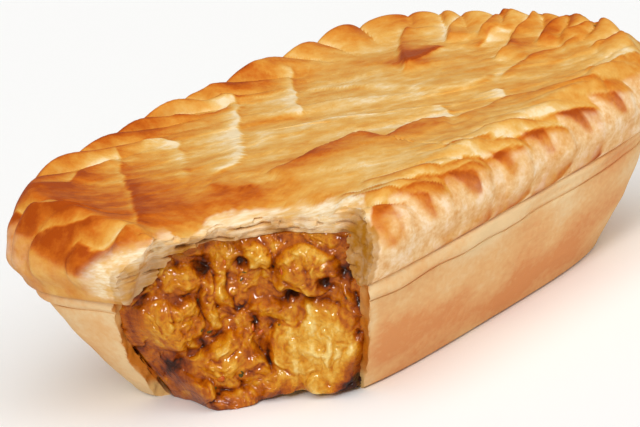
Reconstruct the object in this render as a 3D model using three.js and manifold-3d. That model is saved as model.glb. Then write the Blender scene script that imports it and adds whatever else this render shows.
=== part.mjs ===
// An oblong spiced chicken pie with one near corner eaten away.
// Millimetres, Z up. X runs along the pie, Y across it, and the pie stands on z = 0.

import * as THREE from "three";
import { mergeVertices } from "three/addons/utils/BufferGeometryUtils.js";
import Module from "manifold-3d";

const wasm = await Module();
wasm.setup();

// Outline of the pie, seen from above, is a rounded oblong that tapers down to its base.
const LENGTH = 140;
const WIDTH = 86;
const RIM_SQUARENESS = 5;
const BASE_SQUARENESS = 3.8;
const HALF_LENGTH = LENGTH / 2;
const HALF_WIDTH = WIDTH / 2;

// Pastry case: a thick floor, a wall that leans out and a flat flange under the lid.
const BASE_INSET = 12.2;
const BASE_ROUND = 1.8;
const WALL = 4.5;
const WALL_BULGE = 0.8;
const FLOOR = 4.2;
const FLANGE_UNDER_Z = 21.2;
const FLANGE_TOP_Z = 25;
const FLANGE_INSET = 2.2;
const FLANGE_NECK = 3.3;
const FLANGE_ROUND = 0.7;
const CASE_END_INSET = 2.2;
const CASE_SEGMENTS = 96;

// Puff lid: a plateau, a skirt that sits on the flange and a rope of crimps round its rim.
const GAP = 0.3;
const LID_UNDER_Z = 32.5;
const LID_UNDER_INSET = 11;
const SKIRT_Z = FLANGE_TOP_Z + GAP;
const SKIRT_INSET = 8.2;
const SKIRT_TUCK = 2.6;
const WIDEST_Z = 31.2;
const SHOULDER_Z = 34.2;
const CREST_Z = 41.6;
const PLATEAU_Z = 40.2;
const PLATEAU_INSET = 23;
const CRIMPS = 35;
const SEGMENTS_PER_CRIMP = 5;
const CRIMP_RISE = 3;
const CRIMP_DENT = 1.7;
const CRIMP_UNEVEN = 0.3;
const CRIMP_LEAN = 1.05;
const CRIMP_LEAN_INSET = 16;
const FAR_SIDE_LIFT = 2.2;
const FAR_END_LIFT = 0.6;
const LID_SWELL = 0.5;

// Loose sheets of puff pastry that lie along one grain and stand up from the plateau.
const GRAIN_DEG = -41;
const SHEET_FOOT_Z = 36;
const SHEET_POINTS = 26;
const SHEET_RAGGED = 0.16;
const SHEETS = [
  { x: -8, y: -16, length: 58, width: 18, top: 41.3 },
  { x: 2, y: 4, length: 46, width: 9, top: 41.4 },
  { x: 11, y: 15, length: 40, width: 8, top: 42 },
  { x: 37, y: 2, length: 30, width: 22, top: 42.1 },
  { x: -30, y: 13, length: 40, width: 14, top: 42 },
  { x: -44, y: 0, length: 22, width: 11, top: 41.4 },
];

// The eaten corner goes right through to the table. The lid's torn edge hangs over it.
const BITE_POINTS = 72;
const BITE_BOTTOM_Z = -5;
const BITE_TOP_Z = 60;
const CASE_BITE = { x: -69, y: -43, reachX: 29.5, reachY: 48.5, squareness: 2, lean: 0.28 };
const LID_BITE = { x: -69, y: -43, reachX: 28.5, reachY: 47, squareness: 2.3, lean: 0.5 };
const FILLING_BITE = { x: -69, y: -43, reachX: 28, reachY: 46, squareness: 2, lean: 0 };
const CASE_TORN = 0.35;
const LID_TORN = 1.1;
const LID_TONGUES = [
  { deg: 63, spread: 13, reach: 3.5 },
  { deg: -4, spread: 11, reach: 4 },
];
const CASE_TONGUES = [{ deg: -4, spread: 12, reach: 5 }];

// Filling: a core that runs through the pie, with the chunks that show at the bite fused on.
const FILLING_TOP_Z = LID_UNDER_Z - GAP - 0.1;
const CHUNK_DETAIL = 2;
const CHUNK_LUMPY = 0.17;
const CHUNK_DEPTH = 0.5;
const CHUNKS = [
  { along: 0.73, z: 11, out: -1.5, wide: 10.5, high: 10.5 },
  { along: 0.42, z: 10.5, out: -1, wide: 10, high: 8.5 },
  { along: 0.2, z: 18, out: -1.5, wide: 8, high: 7 },
  { along: 0.69, z: 23.5, out: -1, wide: 8, high: 6 },
  { along: 0.29, z: 26.5, out: -1, wide: 7.5, high: 4.5 },
  { along: 0.84, z: 20, out: -1.5, wide: 4.5, high: 6 },
  { along: 0.5, z: 27, out: -1, wide: 6, high: 5 },
  { along: 0.49, z: 19, out: -0.5, wide: 6, high: 5.5 },
  { along: 0.38, z: 1.5, out: 0, wide: 8, high: 4 },
  { along: 0.59, z: 3, out: -1, wide: 6, high: 5 },
  { along: 0.77, z: 2.5, out: -2.5, wide: 4.5, high: 4 },
  { along: 0.2, z: 8.5, out: -2, wide: 6.5, high: 7 },
];

// Colours as seen in daylight.
const CASE_COLOUR = "#d9a878";
const LID_COLOUR = "#c98a42";
const FILLING_COLOUR = "#b8792f";

// A fixed number from 0 to 1 for each whole number, so that no two crimps are alike.
function chance(index) {
  const spread = Math.sin(index * 12.9898 + 4.1414) * 43758.5453;
  return spread - Math.floor(spread);
}

// Point of the pie's rounded outline at an angle, moved inwards by an inset.
function outlineAtAngle(angle, inset, squareness, endInset = 0) {
  const power = 2 / squareness;
  const along = Math.cos(angle);
  const across = Math.sin(angle);
  return new THREE.Vector2(
    (HALF_LENGTH - endInset - inset) * Math.sign(along) * Math.abs(along) ** power,
    (HALF_WIDTH - inset) * Math.sign(across) * Math.abs(across) ** power,
  );
}

// Angles that divide the rim into steps of equal length.
const ANGLE_STEPS = 4096;
const rimLengths = [0];
for (let step = 1; step <= ANGLE_STEPS; step += 1) {
  const before = outlineAtAngle(((step - 1) * 2 * Math.PI) / ANGLE_STEPS, 0, RIM_SQUARENESS);
  const here = outlineAtAngle((step * 2 * Math.PI) / ANGLE_STEPS, 0, RIM_SQUARENESS);
  rimLengths.push(rimLengths[step - 1] + before.distanceTo(here));
}

function angleAtShare(share) {
  const whole = share - Math.floor(share);
  const wanted = whole * rimLengths[ANGLE_STEPS];
  let low = 0;
  let high = ANGLE_STEPS;
  while (high - low > 1) {
    const middle = (low + high) >> 1;
    if (rimLengths[middle] <= wanted) low = middle;
    else high = middle;
  }
  const part = (wanted - rimLengths[low]) / (rimLengths[high] - rimLengths[low]);
  return ((low + part) * 2 * Math.PI) / ANGLE_STEPS;
}

// The outline is squarer at the rim than at the base, and the lid overhangs the case at its ends.
function outlinePoint(share, inset, z) {
  const rise = THREE.MathUtils.clamp(z / FLANGE_TOP_Z, 0, 1);
  const squareness = THREE.MathUtils.lerp(BASE_SQUARENESS, RIM_SQUARENESS, rise);
  const endInset = CASE_END_INSET * (1 - THREE.MathUtils.smoothstep(z, SKIRT_Z, WIDEST_Z));
  return outlineAtAngle(angleAtShare(share), inset, squareness, endInset);
}

// Turns a three.js geometry into a solid that can be joined and cut.
function solidFrom(geometry) {
  const bare = geometry.clone();
  bare.deleteAttribute("normal");
  bare.deleteAttribute("uv");
  const merged = mergeVertices(bare, 1e-4);
  const corners = merged.index.array;
  const kept = [];
  for (let i = 0; i < corners.length; i += 3) {
    const [a, b, c] = [corners[i], corners[i + 1], corners[i + 2]];
    if (a !== b && b !== c && c !== a) kept.push(a, b, c);
  }
  return new wasm.Manifold(
    new wasm.Mesh({
      numProp: 3,
      vertProperties: merged.getAttribute("position").array,
      triVerts: new Uint32Array(kept),
    }),
  );
}

// Largest closed body of a solid: loose crumbs and sealed hollows are left out.
function mainBody(solid) {
  const bodies = solid.decompose();
  return bodies.reduce((best, body) => (body.volume() > best.volume() ? body : best));
}

// Spins a profile of rows round the pie and moves every point to the place its row asks for.
function spunSolid(rows, segments, placePoint) {
  const profile = rows.map((row, index) => new THREE.Vector2(1, index));
  const geometry = new THREE.LatheGeometry(profile, segments);
  const position = geometry.getAttribute("position");
  for (let turn = 0; turn <= segments; turn += 1) {
    rows.forEach((row, index) => {
      const point = placePoint(row, turn % segments, (turn % segments) / segments);
      position.setXYZ(turn * rows.length + index, point.x, point.y, point.z);
    });
  }
  return solidFrom(geometry);
}

// Rows of a plain shell: scale 0 is a point on the middle axis.
function plainPoint(row, turn, share) {
  const outline = outlinePoint(share, row.inset, row.z).multiplyScalar(row.scale ?? 1);
  return new THREE.Vector3(outline.x, outline.y, row.z);
}

// Point of a bite's outline at an angle: 0 faces along X and a right angle faces along Y.
function bitePoint(bite, angle, shrink) {
  const power = 2 / bite.squareness;
  const along = Math.cos(angle);
  const across = Math.sin(angle);
  return new THREE.Vector2(
    bite.x + (bite.reachX - shrink) * Math.sign(along) * Math.abs(along) ** power,
    bite.y + (bite.reachY - shrink) * Math.sign(across) * Math.abs(across) ** power,
  );
}

// How far the crust that is left standing reaches into the bite at an angle.
function tongueReach(tongues, angle) {
  const degrees = THREE.MathUtils.radToDeg(angle > Math.PI ? angle - 2 * Math.PI : angle);
  const reaches = tongues.map((t) => t.reach * Math.exp(-(((degrees - t.deg) / t.spread) ** 2)));
  return reaches.reduce((sum, reach) => sum + reach, 0);
}

// Solid column in the shape of a bite, with a torn edge, tongues of crust left standing in it
// and a lean that deepens it at the table.
function biteSolid(bite, shrink, torn, tongues = []) {
  const outline = [];
  for (let step = 0; step < BITE_POINTS; step += 1) {
    const angle = (step * 2 * Math.PI) / BITE_POINTS;
    const wave = Math.sin(angle * 17 + 0.6) * 0.6 + Math.sin(angle * 29 + 2.2) * 0.4;
    outline.push(bitePoint(bite, angle, shrink + tongueReach(tongues, angle) - torn * wave));
  }
  const column = new THREE.ExtrudeGeometry(new THREE.Shape(outline), {
    depth: BITE_TOP_Z - BITE_BOTTOM_Z,
    bevelEnabled: false,
  });
  column.translate(0, 0, BITE_BOTTOM_Z - FLANGE_TOP_Z);
  const lean = new THREE.Matrix4();
  lean.elements[9] = -bite.lean;
  column.applyMatrix4(lean);
  column.translate(0, 0, FLANGE_TOP_Z);
  return solidFrom(column);
}

// Pastry case
function pastryCase() {
  const wallLean = (BASE_INSET - FLANGE_NECK) / (FLANGE_UNDER_Z - BASE_ROUND);
  const innerTop = FLANGE_NECK + WALL - (FLANGE_TOP_Z - FLANGE_UNDER_Z) * wallLean;
  const innerFoot = innerTop + (FLANGE_TOP_Z - FLOOR - 1) * wallLean;
  const rows = [
    { inset: BASE_INSET + BASE_ROUND, z: 0, scale: 0 },
    { inset: BASE_INSET + BASE_ROUND, z: 0 },
    { inset: BASE_INSET + BASE_ROUND * 0.35, z: BASE_ROUND * 0.3 },
    { inset: BASE_INSET, z: BASE_ROUND },
    { inset: (BASE_INSET + FLANGE_NECK) / 2 - WALL_BULGE, z: (BASE_ROUND + FLANGE_UNDER_Z) / 2 },
    { inset: FLANGE_NECK, z: FLANGE_UNDER_Z },
    { inset: FLANGE_INSET, z: FLANGE_UNDER_Z + FLANGE_ROUND },
    { inset: FLANGE_INSET, z: FLANGE_TOP_Z - FLANGE_ROUND },
    { inset: FLANGE_INSET + FLANGE_ROUND, z: FLANGE_TOP_Z },
    { inset: innerTop, z: FLANGE_TOP_Z },
    { inset: innerFoot, z: FLOOR + 1 },
    { inset: innerFoot + 1.5, z: FLOOR },
    { inset: innerFoot + 1.5, z: FLOOR, scale: 0 },
  ];
  return spunSolid(rows, CASE_SEGMENTS, plainPoint).subtract(
    biteSolid(CASE_BITE, 0, CASE_TORN, CASE_TONGUES),
  );
}

// How far a point of the rim is up the side of its crimp: 0 in a dent, 1 on the rounded lobe.
function crimpLobe(turn) {
  const across = (turn % SEGMENTS_PER_CRIMP) / SEGMENTS_PER_CRIMP;
  return Math.sin(Math.PI * across) ** 0.7;
}

// The lid's top falls from a high rope on the far side to a flat shoulder on the near one.
function lidPoint(row, turn, share) {
  const lean = (CRIMP_LEAN * Math.min(row.inset, CRIMP_LEAN_INSET)) / CRIMP_LEAN_INSET / CRIMPS;
  const crimp = Math.floor(turn / SEGMENTS_PER_CRIMP);
  const strength = 1 + CRIMP_UNEVEN * (2 * chance(crimp) - 1);
  const lobe = (crimpLobe(turn) - 0.55) * strength;
  const dent = row.dent ?? 0;
  const inset = row.inset + CRIMP_DENT * dent * (0.45 - lobe);
  const outline = outlinePoint(share - lean, inset, row.z).multiplyScalar(row.scale ?? 1);
  const farSide = outline.y / HALF_WIDTH;
  const farEnd = Math.max(0, outline.x / HALF_LENGTH) ** 2;
  const lift = FAR_SIDE_LIFT * farSide + FAR_END_LIFT * farEnd;
  const swell = Math.sin(outline.x / 13 + 0.7) * Math.sin(outline.y / 9 + outline.x / 21);
  const rise = row.rise ?? 0;
  const z = row.z + CRIMP_RISE * rise * lobe + lift * (row.lift ?? 0);
  return new THREE.Vector3(outline.x, outline.y, z + LID_SWELL * (row.swell ?? 0) * swell);
}

// One loose sheet: a long ragged oval that lies along the grain.
function sheetSolid(sheet, index) {
  const outline = [];
  for (let step = 0; step < SHEET_POINTS; step += 1) {
    const angle = (step * 2 * Math.PI) / SHEET_POINTS;
    const ragged = 1 + SHEET_RAGGED * (2 * chance(index * SHEET_POINTS + step) - 1);
    const x = 0.5 * sheet.length * ragged * Math.cos(angle);
    const y = 0.5 * sheet.width * ragged * Math.sin(angle);
    outline.push(new THREE.Vector2(x, y));
  }
  const slab = new THREE.ExtrudeGeometry(new THREE.Shape(outline), {
    depth: sheet.top - SHEET_FOOT_Z,
    bevelEnabled: false,
  });
  slab.rotateZ(THREE.MathUtils.degToRad(GRAIN_DEG));
  slab.translate(sheet.x, sheet.y, SHEET_FOOT_Z);
  return solidFrom(slab);
}

// Puff lid
function pastryLid() {
  const rows = [
    { inset: LID_UNDER_INSET, z: LID_UNDER_Z, scale: 0 },
    { inset: LID_UNDER_INSET, z: LID_UNDER_Z },
    { inset: SKIRT_INSET, z: SKIRT_Z },
    { inset: SKIRT_TUCK, z: SKIRT_Z },
    { inset: 1, z: SKIRT_Z + 2.4 },
    { inset: 0, z: WIDEST_Z },
    { inset: 0.5, z: SHOULDER_Z, dent: 0.7 },
    { inset: 1.5, z: 37, dent: 1, rise: 0.4, lift: 0.4 },
    { inset: 3.2, z: 39.5, dent: 0.6, rise: 0.8, lift: 0.9 },
    { inset: 5.4, z: CREST_Z, rise: 1, lift: 1 },
    { inset: 8, z: CREST_Z - 0.2, rise: 0.9, lift: 0.8 },
    { inset: 11, z: CREST_Z - 0.7, rise: 0.6, lift: 0.7, swell: 0.4 },
    { inset: 14, z: PLATEAU_Z + 0.3, rise: 0.25, lift: 0.6, swell: 1 },
    { inset: 17.5, z: PLATEAU_Z, lift: 0.6, swell: 1 },
    { inset: PLATEAU_INSET, z: PLATEAU_Z, lift: 0.6, swell: 1 },
    { inset: PLATEAU_INSET, z: PLATEAU_Z + 0.2, scale: 0.6, lift: 0.6, swell: 1 },
    { inset: PLATEAU_INSET, z: PLATEAU_Z + 0.3, scale: 0, lift: 0.6, swell: 1 },
  ];
  let lid = spunSolid(rows, CRIMPS * SEGMENTS_PER_CRIMP, lidPoint);
  SHEETS.forEach((sheet, index) => {
    lid = lid.add(sheetSolid(sheet, index));
  });
  return mainBody(lid.subtract(biteSolid(LID_BITE, 0, LID_TORN, LID_TONGUES)));
}

// Space inside the pastry, a gap away from the case and the lid.
function insideSolid() {
  const rows = [
    { inset: 19, z: FLOOR + GAP, scale: 0 },
    { inset: 19, z: FLOOR + GAP },
    { inset: 16.7, z: FLOOR + 2 },
    { inset: 6.5, z: FLANGE_TOP_Z - GAP },
    { inset: SKIRT_INSET + 0.5, z: SKIRT_Z },
    { inset: LID_UNDER_INSET + 0.5, z: FILLING_TOP_Z },
    { inset: LID_UNDER_INSET + 0.5, z: FILLING_TOP_Z, scale: 0 },
  ];
  return spunSolid(rows, CASE_SEGMENTS, plainPoint);
}

// One chunk of chicken or vegetable, an uneven ball whose place is given along the bite.
function chunkSolid(chunk, index) {
  const ball = new THREE.IcosahedronGeometry(1, CHUNK_DETAIL);
  const position = ball.getAttribute("position");
  const corner = new THREE.Vector3();
  for (let i = 0; i < position.count; i += 1) {
    corner.fromBufferAttribute(position, i);
    const bumps = Math.sin(corner.x * 4.1 + index) * Math.sin(corner.y * 3.7 + index * 2.3);
    const folds = Math.sin(corner.z * 5.3 + corner.x * 2.9 + index * 1.7);
    corner.multiplyScalar(1 + CHUNK_LUMPY * (0.6 * bumps + 0.4 * folds));
    position.setXYZ(i, corner.x, corner.y, corner.z);
  }
  const angle = ((1 - chunk.along) * Math.PI) / 2;
  const place = bitePoint(FILLING_BITE, angle, chunk.out);
  ball.scale(chunk.wide * CHUNK_DEPTH, chunk.wide, chunk.high);
  ball.rotateZ(Math.atan2(FILLING_BITE.reachX * Math.sin(angle), FILLING_BITE.reachY * Math.cos(angle)));
  ball.translate(place.x, place.y, chunk.z);
  return solidFrom(ball);
}

// Block that keeps what lies between two heights.
function layerSolid(bottom, top) {
  const block = new THREE.BoxGeometry(LENGTH * 2, WIDTH * 2, top - bottom);
  block.translate(0, 0, (bottom + top) / 2);
  return solidFrom(block);
}

// Filling: it stays inside the pastry or in the open bite, and never goes below the table.
function pieFilling() {
  const inside = insideSolid();
  let filling = inside.subtract(biteSolid(FILLING_BITE, 0, 0));
  CHUNKS.forEach((chunk, index) => {
    filling = filling.add(chunkSolid(chunk, index));
  });
  const lidFoot = FLANGE_TOP_Z - GAP;
  const caseBite = biteSolid(CASE_BITE, GAP + CASE_TORN, 0, CASE_TONGUES);
  const lidBite = biteSolid(LID_BITE, GAP + LID_TORN, 0, LID_TONGUES);
  const openCase = caseBite.intersect(layerSolid(0, lidFoot));
  const openLid = lidBite.intersect(layerSolid(lidFoot, BITE_TOP_Z));
  return mainBody(filling.intersect(inside.add(openCase).add(openLid)));
}

// Names a solid as one piece of the pie with its own colour.
function piece(name, solid, colour) {
  const mesh = solid.getMesh();
  const geometry = new THREE.BufferGeometry();
  geometry.setAttribute("position", new THREE.BufferAttribute(mesh.vertProperties, 3));
  geometry.setIndex(new THREE.BufferAttribute(mesh.triVerts, 1));
  geometry.computeVertexNormals();
  const material = new THREE.MeshStandardMaterial({ color: colour, roughness: 0.7 });
  const made = new THREE.Mesh(geometry, material);
  made.name = name;
  return made;
}

const pie = new THREE.Group();
pie.add(piece("pastry_case", pastryCase(), CASE_COLOUR));
pie.add(piece("pastry_lid", pastryLid(), LID_COLOUR));
pie.add(piece("filling", pieFilling(), FILLING_COLOUR));

export default pie;
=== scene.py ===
"""Looks for an oblong balti pie with one corner eaten away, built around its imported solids."""

import logging
import math
from dataclasses import dataclass
from enum import Enum

import bmesh
import bpy
import numpy as np
from mathutils import Matrix, Vector


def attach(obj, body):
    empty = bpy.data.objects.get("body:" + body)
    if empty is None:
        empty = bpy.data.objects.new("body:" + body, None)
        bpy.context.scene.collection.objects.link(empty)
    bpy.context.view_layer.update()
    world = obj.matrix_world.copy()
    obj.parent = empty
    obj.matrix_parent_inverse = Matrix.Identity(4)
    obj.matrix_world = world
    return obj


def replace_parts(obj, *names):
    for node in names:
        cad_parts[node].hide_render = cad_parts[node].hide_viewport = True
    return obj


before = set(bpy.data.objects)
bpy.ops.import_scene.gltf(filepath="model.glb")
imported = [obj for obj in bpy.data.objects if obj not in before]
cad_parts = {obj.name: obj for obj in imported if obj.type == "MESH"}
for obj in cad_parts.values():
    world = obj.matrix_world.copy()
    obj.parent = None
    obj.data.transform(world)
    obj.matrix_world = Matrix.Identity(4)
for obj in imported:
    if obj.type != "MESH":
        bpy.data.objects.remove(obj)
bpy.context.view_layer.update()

MM = 0.001
TURN = 2 * math.pi
FAR = 1e9
# Direction of the lid's flakes in degrees, and the direction across them in plan
GRAIN_DEG = -41.0
ACROSS_GRAIN = (0.656, 0.755)
# Length, width and seed of the lid's two sizes of flake
FLAKE_SIZES = ((19.0, 6.0, 101), (9.0, 3.2, 111))
# Middle of the eaten corner, in plan
BITE_AT = (-69.0, -43.0)
# Directions in degrees between which a bite meets the pie, and the share of a cutter's columns there
BITE_SPAN = (-14.0, 104.0)
BITE_SHARE = 0.8
# Direction from the photograph's camera to the pie, in plan
SIGHT = (0.758, 0.652)
# Turn of the noise's cells against the pie, so that their rows don't show
TILT = np.array(Matrix.Rotation(0.9, 3, Vector((0.36, 0.48, 0.8))))
log = logging.getLogger("balti_pie")
Array = np.ndarray


class Slot(Enum):
    """The record's material slots."""

    CASE = "shortcrust"
    LID = "puff_crust"
    FILLING = "curry_filling"


class Side(Enum):
    """Which side of a drawn flake edge stands up, seen along the line."""

    LEFT = 1.0
    RIGHT = -1.0


def cell_value(cell: Array, seed: int) -> Array:
    """Give each whole-number cell one fixed value.

    Args:
        cell: Cell numbers, three to a row.
        seed: Picks the pattern.

    Returns:
        One value from -1 to 1 for each row.
    """
    mask = 0xFFFFFFFF
    key = cell[:, 0] * 374761393 + cell[:, 1] * 668265263 + cell[:, 2] * 1440662683
    key = (key + seed * 1274126177) & mask
    key = ((key ^ (key >> 15)) * 0x2C1B3C6D) & mask
    key = ((key ^ (key >> 12)) * 0x297A2D39) & mask
    key ^= key >> 15
    return (key & 0xFFFF) / 32767.5 - 1.0


def noise(points: Array, seed: int) -> Array:
    """Evaluate smooth seeded noise.

    Args:
        points: Places, three to a row, in units of one bump.
        seed: Picks the pattern.

    Returns:
        One value from -1 to 1 for each place.
    """
    base = np.floor(points).astype(np.int64)
    part = points - base
    fade = part * part * (3.0 - 2.0 * part)
    total = np.zeros(len(points))
    for corner in range(8):
        bits = np.array([corner & 1, corner >> 1 & 1, corner >> 2 & 1])
        weight = np.prod(np.where(bits, fade, 1.0 - fade), axis=1)
        total += weight * cell_value(base + bits, seed)
    return total


def noise_of(seed: int, *axes: Array) -> Array:
    """Evaluate noise from one to three separate coordinate arrays."""
    padded = list(axes) + [np.full_like(axes[0], 0.5)] * (3 - len(axes))
    return noise(np.stack(padded, axis=1) @ TILT, seed)


def flakes(a: Array, b: Array, long: float, wide: float, seed: int) -> tuple[Array, Array]:
    """Split the lid into overlapping flakes.

    Args:
        a: Places along the grain.
        b: Places across it.
        long: Length of a flake.
        wide: Width of a flake.
        seed: Picks the pattern.

    Returns:
        A fixed value from -1 to 1 for the flake at each place, and the place across that flake.
    """
    u, v = a / long, b / wide
    u = u + 0.25 * noise_of(seed + 2, u * 2.0, v)
    v = v + 0.35 * noise_of(seed + 3, u * 1.5, v * 0.5)
    home = np.stack([np.floor(u), np.floor(v), np.zeros_like(u)], axis=1).astype(np.int64)
    best = np.full_like(u, FAR)
    value, across = np.zeros_like(u), np.zeros_like(u)
    for du in (-1, 0, 1):
        for dv in (-1, 0, 1):
            cell = home + np.array([du, dv, 0])
            left = u - cell[:, 0] - 0.5 - 0.4 * cell_value(cell, seed)
            up = v - cell[:, 1] - 0.5 - 0.4 * cell_value(cell, seed + 1)
            nearer = left * left + up * up < best
            best = np.where(nearer, left * left + up * up, best)
            value = np.where(nearer, cell_value(cell, seed + 4), value)
            across = np.where(nearer, up, across)
    return value, across


def ease(value: Array, low: float, high: float) -> Array:
    """Return a smooth step from 0 at low to 1 at high."""
    part = np.clip((value - low) / (high - low), 0.0, 1.0)
    return part * part * (3.0 - 2.0 * part)


def read_points(mesh: bpy.types.Mesh) -> Array:
    """Return a mesh's vertices in millimetres."""
    flat = np.empty(len(mesh.vertices) * 3)
    mesh.vertices.foreach_get("co", flat)
    return flat.reshape(-1, 3) / MM


def write_points(mesh: bpy.types.Mesh, points: Array) -> None:
    """Put vertices, given in millimetres, into a mesh."""
    mesh.vertices.foreach_set("co", (points * MM).astype(np.float64).ravel())
    mesh.update()


def read_normals(mesh: bpy.types.Mesh) -> Array:
    """Return the vertex normals of a mesh."""
    flat = np.empty(len(mesh.vertices) * 3)
    mesh.vertex_normals.foreach_get("vector", flat)
    return flat.reshape(-1, 3)


def write_layer(mesh: bpy.types.Mesh, name: str, values: Array) -> None:
    """Keep one number for each vertex, for a finish to read."""
    layer = mesh.attributes.new(name, "FLOAT", "POINT")
    layer.data.foreach_set("value", np.clip(values, 0.0, 1.0).astype(np.float32))


def swell_of(mesh: bpy.types.Mesh, rounds: int) -> Array:
    """Measure how far each vertex stands out of its smoothed surroundings.

    Args:
        mesh: The mesh to measure.
        rounds: How many times the surroundings are averaged.

    Returns:
        Millimetres, positive on bumps and negative in creases.
    """
    edges = np.empty(len(mesh.edges) * 2, dtype=np.int64)
    mesh.edges.foreach_get("vertices", edges)
    start, end = edges[0::2], edges[1::2]
    points = read_points(mesh)
    count = np.bincount(edges, minlength=len(points)).astype(float)[:, None]
    soft = points.copy()
    for _ in range(rounds):
        total = np.zeros_like(soft)
        for axis in range(3):
            total[:, axis] += np.bincount(start, soft[end, axis], len(points))
            total[:, axis] += np.bincount(end, soft[start, axis], len(points))
        soft = total / np.maximum(count, 1.0)
    return np.sum((points - soft) * read_normals(mesh), axis=1)


def roll_tube(rows: int, steps: int, name: str) -> bpy.types.Mesh:
    """Roll a grid into a closed tube that has a pole at each end.

    Args:
        rows: Number of rows, with the two poles.
        steps: Number of columns round the axis.
        name: Name of the new mesh.

    Returns:
        A mesh of radius 1 whose heights are its row numbers.
    """
    bm = bmesh.new()
    bmesh.ops.create_grid(bm, x_segments=steps, y_segments=rows - 1, size=1.0)
    for vert in bm.verts:
        row = round((vert.co.y + 1.0) / 2.0 * (rows - 1))
        angle = math.pi * vert.co.x
        radius = 0.0 if row in (0, rows - 1) else 1.0
        vert.co = (radius * math.cos(angle), radius * math.sin(angle), row)
    bmesh.ops.remove_doubles(bm, verts=bm.verts, dist=1e-4)
    bmesh.ops.recalc_face_normals(bm, faces=bm.faces)
    mesh = bpy.data.meshes.new(name)
    bm.to_mesh(mesh)
    bm.free()
    return mesh


def tube_places(mesh: bpy.types.Mesh) -> tuple[Array, Array, Array]:
    """Read a rolled tube's own grid.

    Args:
        mesh: A mesh from roll_tube.

    Returns:
        Row number, share of the way round, and 0 at the poles or 1 elsewhere.
    """
    points = read_points(mesh) * MM
    row = np.rint(points[:, 2]).astype(int)
    share = np.mod(np.arctan2(points[:, 1], points[:, 0]) / TURN, 1.0)
    rim = (np.hypot(points[:, 0], points[:, 1]) > 0.5).astype(float)
    return row, share, rim


def fill_rows(control: Array, counts: tuple[int, ...]) -> Array:
    """Round off a coarse profile.

    Args:
        control: Coarse rows, one value to a column.
        counts: How many fine rows each coarse interval gets.

    Returns:
        Fine rows on a smooth curve through the coarse ones, the first column held to 0 to 1.
    """
    wide = np.vstack([control[0], control, control[-1]])
    fine = []
    for i, count in enumerate(counts):
        p0, p1, p2, p3 = wide[i:i + 4]
        for t in np.arange(count) / count:
            fine.append(0.5 * (2 * p1 + (p2 - p0) * t + (2 * p0 - 5 * p1 + 4 * p2 - p3) * t * t
                               + (3 * p1 - p0 - 3 * p2 + p3) * t ** 3))
    fine.append(control[-1])
    fine = np.array(fine)
    fine[:, 0] = np.clip(fine[:, 0], 0.0, 1.0)
    return fine


def link_piece(name: str, mesh: bpy.types.Mesh) -> bpy.types.Object:
    """Put a mesh into the scene as an object at the origin."""
    piece = bpy.data.objects.new(name, mesh)
    bpy.context.scene.collection.objects.link(piece)
    return piece


def apply_modifiers(piece: bpy.types.Object) -> None:
    """Replace a piece's mesh by what its modifiers make of it."""
    graph = bpy.context.evaluated_depsgraph_get()
    made = bpy.data.meshes.new_from_object(piece.evaluated_get(graph))
    old = piece.data
    piece.modifiers.clear()
    piece.data = made
    made.name = piece.name
    bpy.data.meshes.remove(old)


def bite_off(piece: bpy.types.Object, cutter: bpy.types.Object) -> Array:
    """Cut one closed mesh out of another.

    Args:
        piece: The piece that loses material.
        cutter: The shape that goes; it is removed afterwards.

    Returns:
        For each vertex left, the share of its faces that the cut made.
    """
    for item in (piece, cutter):
        for name in ("skin", "cut"):
            mark = bpy.data.materials.get(name) or bpy.data.materials.new(name)
            item.data.materials.append(mark)
    cutter.data.polygons.foreach_set("material_index", np.ones(len(cutter.data.polygons), np.int32))
    bite = piece.modifiers.new("bite", "BOOLEAN")
    bite.operation = "DIFFERENCE"
    bite.solver = "MANIFOLD"
    bite.object = cutter
    apply_modifiers(piece)
    spent = cutter.data
    bpy.data.objects.remove(cutter)
    bpy.data.meshes.remove(spent)
    mesh = piece.data
    made = np.empty(len(mesh.polygons), dtype=np.int32)
    mesh.polygons.foreach_get("material_index", made)
    corners = np.empty(len(mesh.loops), dtype=np.int32)
    mesh.loops.foreach_get("vertex_index", corners)
    sizes = np.empty(len(mesh.polygons), dtype=np.int32)
    mesh.polygons.foreach_get("loop_total", sizes)
    on_cut = np.bincount(corners, np.repeat(made, sizes), len(mesh.vertices))
    total = np.bincount(corners, minlength=len(mesh.vertices))
    mesh.materials.clear()
    return on_cut / np.maximum(total, 1)


@dataclass(frozen=True)
class Colour:
    """A colour as it should look on screen, from 0 to 255."""

    red: int
    green: int
    blue: int

    def linear(self) -> tuple[float, float, float, float]:
        """Return the colour in Blender's linear units."""
        parts = [part / 255 for part in (self.red, self.green, self.blue)]
        flat = [p / 12.92 if p <= 0.04045 else ((p + 0.055) / 1.055) ** 2.4 for p in parts]
        return (*flat, 1.0)


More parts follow.
